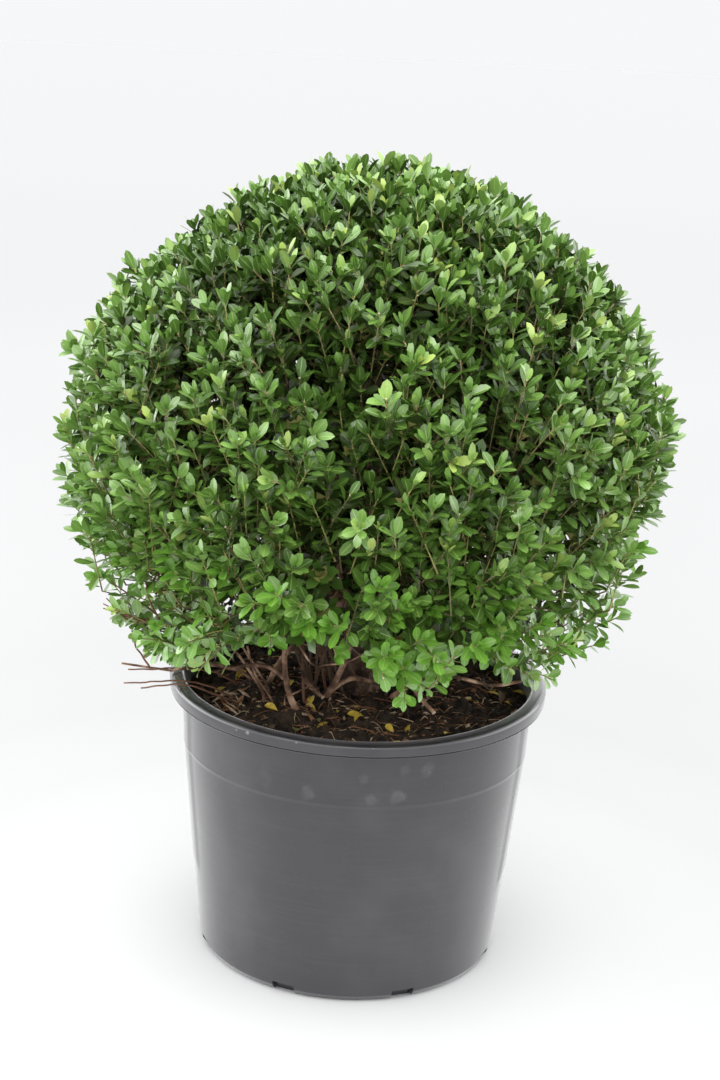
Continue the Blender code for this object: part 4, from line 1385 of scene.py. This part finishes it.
def make_branches(bark, cut_wood, rng):
    """The branches and cut stubs that show between the soil and the skirt."""
    shapes = []
    for first, last, cut, corners in BRANCHES:
        path = smooth_path(MM * np.array(corners), 16)
        radii = BRANCH_SLIM * taper(first * MM, last * MM, np.linspace(0.0, 1.0, len(path)), BRANCH_FLARE)
        shapes.append((*limb_mesh(path, radii, BRANCH_SIDES, rng, BRANCH_RELIEF), 0))
        if cut:
            along = unit(path[-1] - path[-2])
            into, past, share = CUT_FACE
            face = np.stack((path[-1] - along * into, path[-1] + along * past))[None]
            shapes.append((*tubes(face, np.full((1, 2), last * MM * share), BRANCH_SIDES), 1))
    dress(add_mesh("understorey_branches", [bark, cut_wood], *joined(shapes)), "bark")


def make_bare_twigs(materials, rng):
    """The twigs over the lip beside the bare branch, and the forked one at the lower left."""
    shapes = []
    for corners in OVERHANG:
        path = smooth_path(MM * np.array(corners), 10)
        width, height = OVERHANG_WAVES
        path += np.stack([waves(path, width, rng) for _ in range(3)], -1) * height
        shapes.append((*tubes(path[None], np.linspace(*OVERHANG_RADII, len(path))[None], 6), RED))
    for _ in range(FORKED_COUNT):
        way = unit(FORKED_WAY + rng.normal(size=3) * FORKED_SPREAD) * FORKED_LENGTH
        corners = FORKED_FOOT + (way * FORKED_SHARES + UP * FORKED_LIFTS)
        path = smooth_path(corners + rng.normal(size=(3, 3)) * FORKED_JITTER, 8)
        shapes.append((*tubes(path[None], np.linspace(*FORKED_RADII, len(path))[None], 5), RED))
    dress(add_mesh("bare_twigs", materials, *joined(shapes)), "bark")


def soil_level(points):
    """The soil's height at each point: clods, a fall to the wall, and a mound at each stem."""
    flat = points * LEVEL
    fall = smooth_step(SOIL_FALL_RADIUS, SOIL_FLAT_RADIUS, np.hypot(flat[:, 0], flat[:, 1]))
    level = SOIL_EDGE + (SOIL_TOP - SOIL_EDGE) * fall
    for seed, (width, height) in enumerate(SOIL_CLODS):
        level += height * waves(flat, width, np.random.default_rng(SEED + seed))
    width, height = SOIL_MOUND
    mound = np.zeros(len(points))
    for foot in (TRUNK_BASE, BARE_FOOT, *(row[0] for row in SOIL_STEMS.values())):
        apart = np.hypot(flat[:, 0] - foot[0], flat[:, 1] - foot[1])
        mound = np.maximum(mound, np.exp(-((apart / width) ** 2)))
    return level * (1.0 - mound) + mound * (SOIL_TOP + height)


def scattered(count, rng, centre=0.0, reach=SOIL_REACH):
    """Random places on the soil, in a disc about a centre."""
    radius = reach * np.sqrt(rng.random(count))
    places = circle(rng.uniform(0.0, TURN, count), radius) + centre
    places[:, 2] = soil_level(places)
    return places


def lumps(places, size, rng, stretch=1.0):
    """Small eight-sided lumps at places, of random proportions and turns."""
    corners = np.array(((1, 0, 0), (-1, 0, 0), (0, 1, 0), (0, -1, 0), (0, 0, 1), (0, 0, -1)), float)
    faces = ((0, 2, 4), (2, 1, 4), (1, 3, 4), (3, 0, 4), (2, 0, 5), (1, 2, 5), (3, 1, 5), (0, 3, 5))
    count = len(places)
    axis_spread, corner_spread = LITTER_SPREADS
    scale = rng.uniform(*axis_spread, (count, 1, 3)) * size[:, None, None]
    scale = scale * np.array((stretch, 1.0, LITTER_FLAT))
    own = corners[None] * scale * rng.uniform(*corner_spread, (count, len(corners), 1))
    turn = rng.uniform(0.0, TURN, count)
    tilt = rng.normal(size=count) * LITTER_TILT
    side = np.cross(UP, circle(turn))[:, None]
    ahead = circle(turn, np.cos(tilt), np.sin(tilt))[:, None]
    points = places[:, None] + own[..., :1] * ahead + own[..., 1:2] * side + own[..., 2:] * UP
    return points.reshape(-1, 3), repeated(faces, count, len(corners))


def make_peat(material):
    """The peat with its rough surface, closed below."""
    edge = COLLAR_RADIUS - POT_WALL - PEAT_GAP
    radii = (edge, *np.linspace(edge - 0.004, 0.0, PEAT_RINGS))
    profile = [(0.0, SOIL_BOTTOM), (edge, SOIL_BOTTOM), *((radius, SOIL_TOP) for radius in radii)]
    points, triangles = lathe(np.array(profile), PEAT_SEGMENTS)
    top = points[:, 2] > SOIL_EDGE
    points[top, 2] = soil_level(points[top])
    dress(add_mesh("soil_surface", [material], points, triangles), "soil", "soil")


def make_crumbs(materials, rng):
    """Crumbs of peat all over the soil, and chips of bark with a pile of them at the left."""
    shapes = []
    places = scattered(CRUMB_COUNT, rng)
    size = rng.uniform(*CRUMB_SIZE, CRUMB_COUNT)
    shades = rng.choice(len(LITTER_SHADES), CRUMB_COUNT, p=CRUMB_SHARES)
    shapes.append((*lumps(places, size, rng), np.repeat(shades, 8)))
    centre, reach, count = CHIP_PILE
    places = np.concatenate((scattered(CHIP_COUNT, rng), scattered(count, rng, centre, reach)))
    places[CHIP_COUNT:, 2] += rng.uniform(0.0, CHIP_PILE_HEIGHT, count)
    size = rng.uniform(*CHIP_SIZE, len(places))
    shades = rng.choice((1, 2, 3), len(places), p=CHIP_SHARES)
    shapes.append((*lumps(places + UP * CHIP_LIFT, size, rng, CHIP_STRETCH), np.repeat(shades, 8)))
    dress(add_mesh("soil_crumbs", materials, *joined(shapes), smooth=False), "soil")


def make_fibres(materials, rng):
    """Thin fibres that lie on the soil in low arches."""
    start = scattered(FIBRE_COUNT, rng)
    way = circle(rng.uniform(0.0, TURN, FIBRE_COUNT)) * rng.uniform(*FIBRE_LENGTH, (FIBRE_COUNT, 1))
    inside = np.hypot(start[:, 0] + way[:, 0], start[:, 1] + way[:, 1]) < SOIL_REACH
    start, way = start[inside], way[inside]
    start_lift, end_lift = FIBRE_LIFTS
    end = start + way
    end[:, 2] = soil_level(end) + end_lift
    arch = UP * rng.uniform(*FIBRE_ARCH, (len(start), 1))
    bend = rng.normal(size=start.shape) * LEVEL * FIBRE_BEND
    pulls = (start + way * FIBRE_PULL + arch + bend, end - way * FIBRE_PULL + arch - bend)
    paths = curves(start + UP * start_lift, *pulls, end, FIBRE_STEPS)
    radii = np.linspace(1.0, FIBRE_TAPER, FIBRE_STEPS)[None] * rng.uniform(*FIBRE_RADIUS, (len(start), 1))
    points, triangles = tubes(paths, radii, 3)
    shades = rng.choice((1, 2, 3), len(start), p=FIBRE_SHARES)
    shades = np.repeat(shades, len(triangles) // len(start))
    dress(add_mesh("soil_fibres", materials, points, triangles, shades), "soil")


def make_fallen(materials, rng):
    """Leaves on the soil: the yellow ones that show, and others scattered all over."""
    places = np.array([(x * MM, y * MM, 0.0) for x, y in FALLEN])
    places[:, 2] = soil_level(places)
    places = np.concatenate((places, scattered(FALLEN_MORE, rng)))
    count = len(places)
    turn = rng.uniform(0.0, TURN, count)
    along = unit(circle(turn, 1.0, rng.uniform(*FALLEN_RISE, count)))
    face = square_to(UP + rng.normal(size=(count, 3)) * FALLEN_TILT, along)
    length = LEAF_LENGTH * rng.uniform(*FALLEN_SIZES, count)
    rows = (places + UP * FALLEN_LIFT, along, face, length, length * FALLEN_WIDTH)
    rows += (rng.uniform(*FALLEN_FOLDS, count), rng.uniform(*FALLEN_CURLS, count))
    shades = rng.choice(len(FALLEN_SHADES), count, p=FALLEN_SHARES)
    shades[:len(FALLEN)] = 0
    triangles, parts = leaf_triangles(count, *OUTER_LEAF)
    shape = (leaf_points(*rows, *OUTER_LEAF), triangles, np.repeat(shades, len(parts)))
    dress(add_mesh("fallen_leaves", materials, *shape), "foliage")


def make_soil(rng):
    """The peat and what lies on it."""
    peat = soil_material("peat", (0.01, 0.007, 0.005), (0.072, 0.045, 0.027))
    litter = rough_materials(LITTER_SHADES, 0.9, 300.0)
    fallen = rough_materials(FALLEN_SHADES, 0.6, 120.0)
    make_peat(peat)
    make_crumbs(litter, rng)
    make_fibres(litter, rng)
    make_fallen(fallen, rng)


def make_shrub(rng):
    """The limbs, twigs and leaves."""
    # The trunk's bark is darker than the rest: painted shade
    shaded_bark = bark_material("bark_trunk_painted_shade", TRUNK_PAINTED_SHADE)
    bark = bark_material("bark", 1.0)
    twig_materials = rough_materials(TWIG_SHADES, 0.7, 260.0)
    forks = fork_nodes(make_limbs(shaded_bark, bark, rng), rng)
    shoots = with_sprays(grow_shoots(rng))
    parent, apart = nearest(shoots["base"], np.concatenate([level["place"] for level in forks]))
    near = (apart < LONGEST_CONNECTOR) & clear_of_gaps(shoots)
    shoots = chosen(shoots, near)
    make_leaves(shoots, leaf_materials(), rng)
    make_twigs(shoots, forks, parent[near], twig_materials, rng)
    make_branches(bark, twig_materials[CUT], rng)
    make_bare_twigs(twig_materials, rng)


def make_stage():
    corners = FLOOR_REACH * np.array(((-1, -1, 0), (1, -1, 0), (1, 1, 0), (-1, 1, 0)))
    add_mesh("floor", [floor_material()], corners, np.array(((0, 1, 2), (0, 2, 3))))


def make_world():
    """An even white studio, whose grey in the picture is set apart from its light."""
    world = bpy.data.worlds.new("studio")
    world.use_nodes = True
    tree = world.node_tree
    tree.nodes.clear()
    light, seen = (
        add_node(tree, "ShaderNodeBackground", WORLD_COLOUR, strength).outputs["Background"]
        for strength in (WORLD_STRENGTH, WORLD_SEEN)
    )
    from_camera = add_node(tree, "ShaderNodeLightPath").outputs["Is Camera Ray"]
    either = add_node(tree, "ShaderNodeMixShader", from_camera, light, seen).outputs["Shader"]
    add_node(tree, "ShaderNodeOutputWorld", either)
    bpy.context.scene.world = world


def make_lamps():
    for name, place, size, energy in LAMPS:
        data = bpy.data.lights.new(name, "AREA")
        data.shape = "RECTANGLE"
        data.size, data.size_y = size
        data.energy = energy
        lamp = bpy.data.objects.new(name, data)
        lamp.location = place
        lamp.rotation_euler = (LAMP_TARGET - Vector(place)).to_track_quat("-Z", "Y").to_euler()
        lamp.visible_camera = False
        bpy.context.scene.collection.objects.link(lamp)


def make_camera():
    data = bpy.data.cameras.new("camera")
    data.lens = CAMERA_LENS
    data.sensor_width = SENSOR_WIDTH
    camera = bpy.data.objects.new("camera", data)
    turn = Matrix.Rotation(0.25 * TURN - CAMERA_PITCH, 4, "X") @ Matrix.Rotation(CAMERA_ROLL, 4, "Z")
    camera.matrix_world = Matrix.Translation(CAMERA_PLACE) @ turn
    bpy.context.scene.collection.objects.link(camera)
    bpy.context.scene.camera = camera


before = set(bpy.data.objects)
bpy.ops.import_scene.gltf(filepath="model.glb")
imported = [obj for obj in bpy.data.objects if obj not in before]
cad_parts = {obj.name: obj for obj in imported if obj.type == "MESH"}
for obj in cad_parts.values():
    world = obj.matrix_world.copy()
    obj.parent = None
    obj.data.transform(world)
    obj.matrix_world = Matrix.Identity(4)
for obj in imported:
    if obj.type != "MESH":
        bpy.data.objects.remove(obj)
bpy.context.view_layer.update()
rng = np.random.default_rng(SEED)
bpy.context.scene.view_settings.view_transform = "Standard"
make_camera()
make_world()
make_lamps()
make_stage()
make_pot(pot_material())
make_soil(rng)
make_shrub(rng)
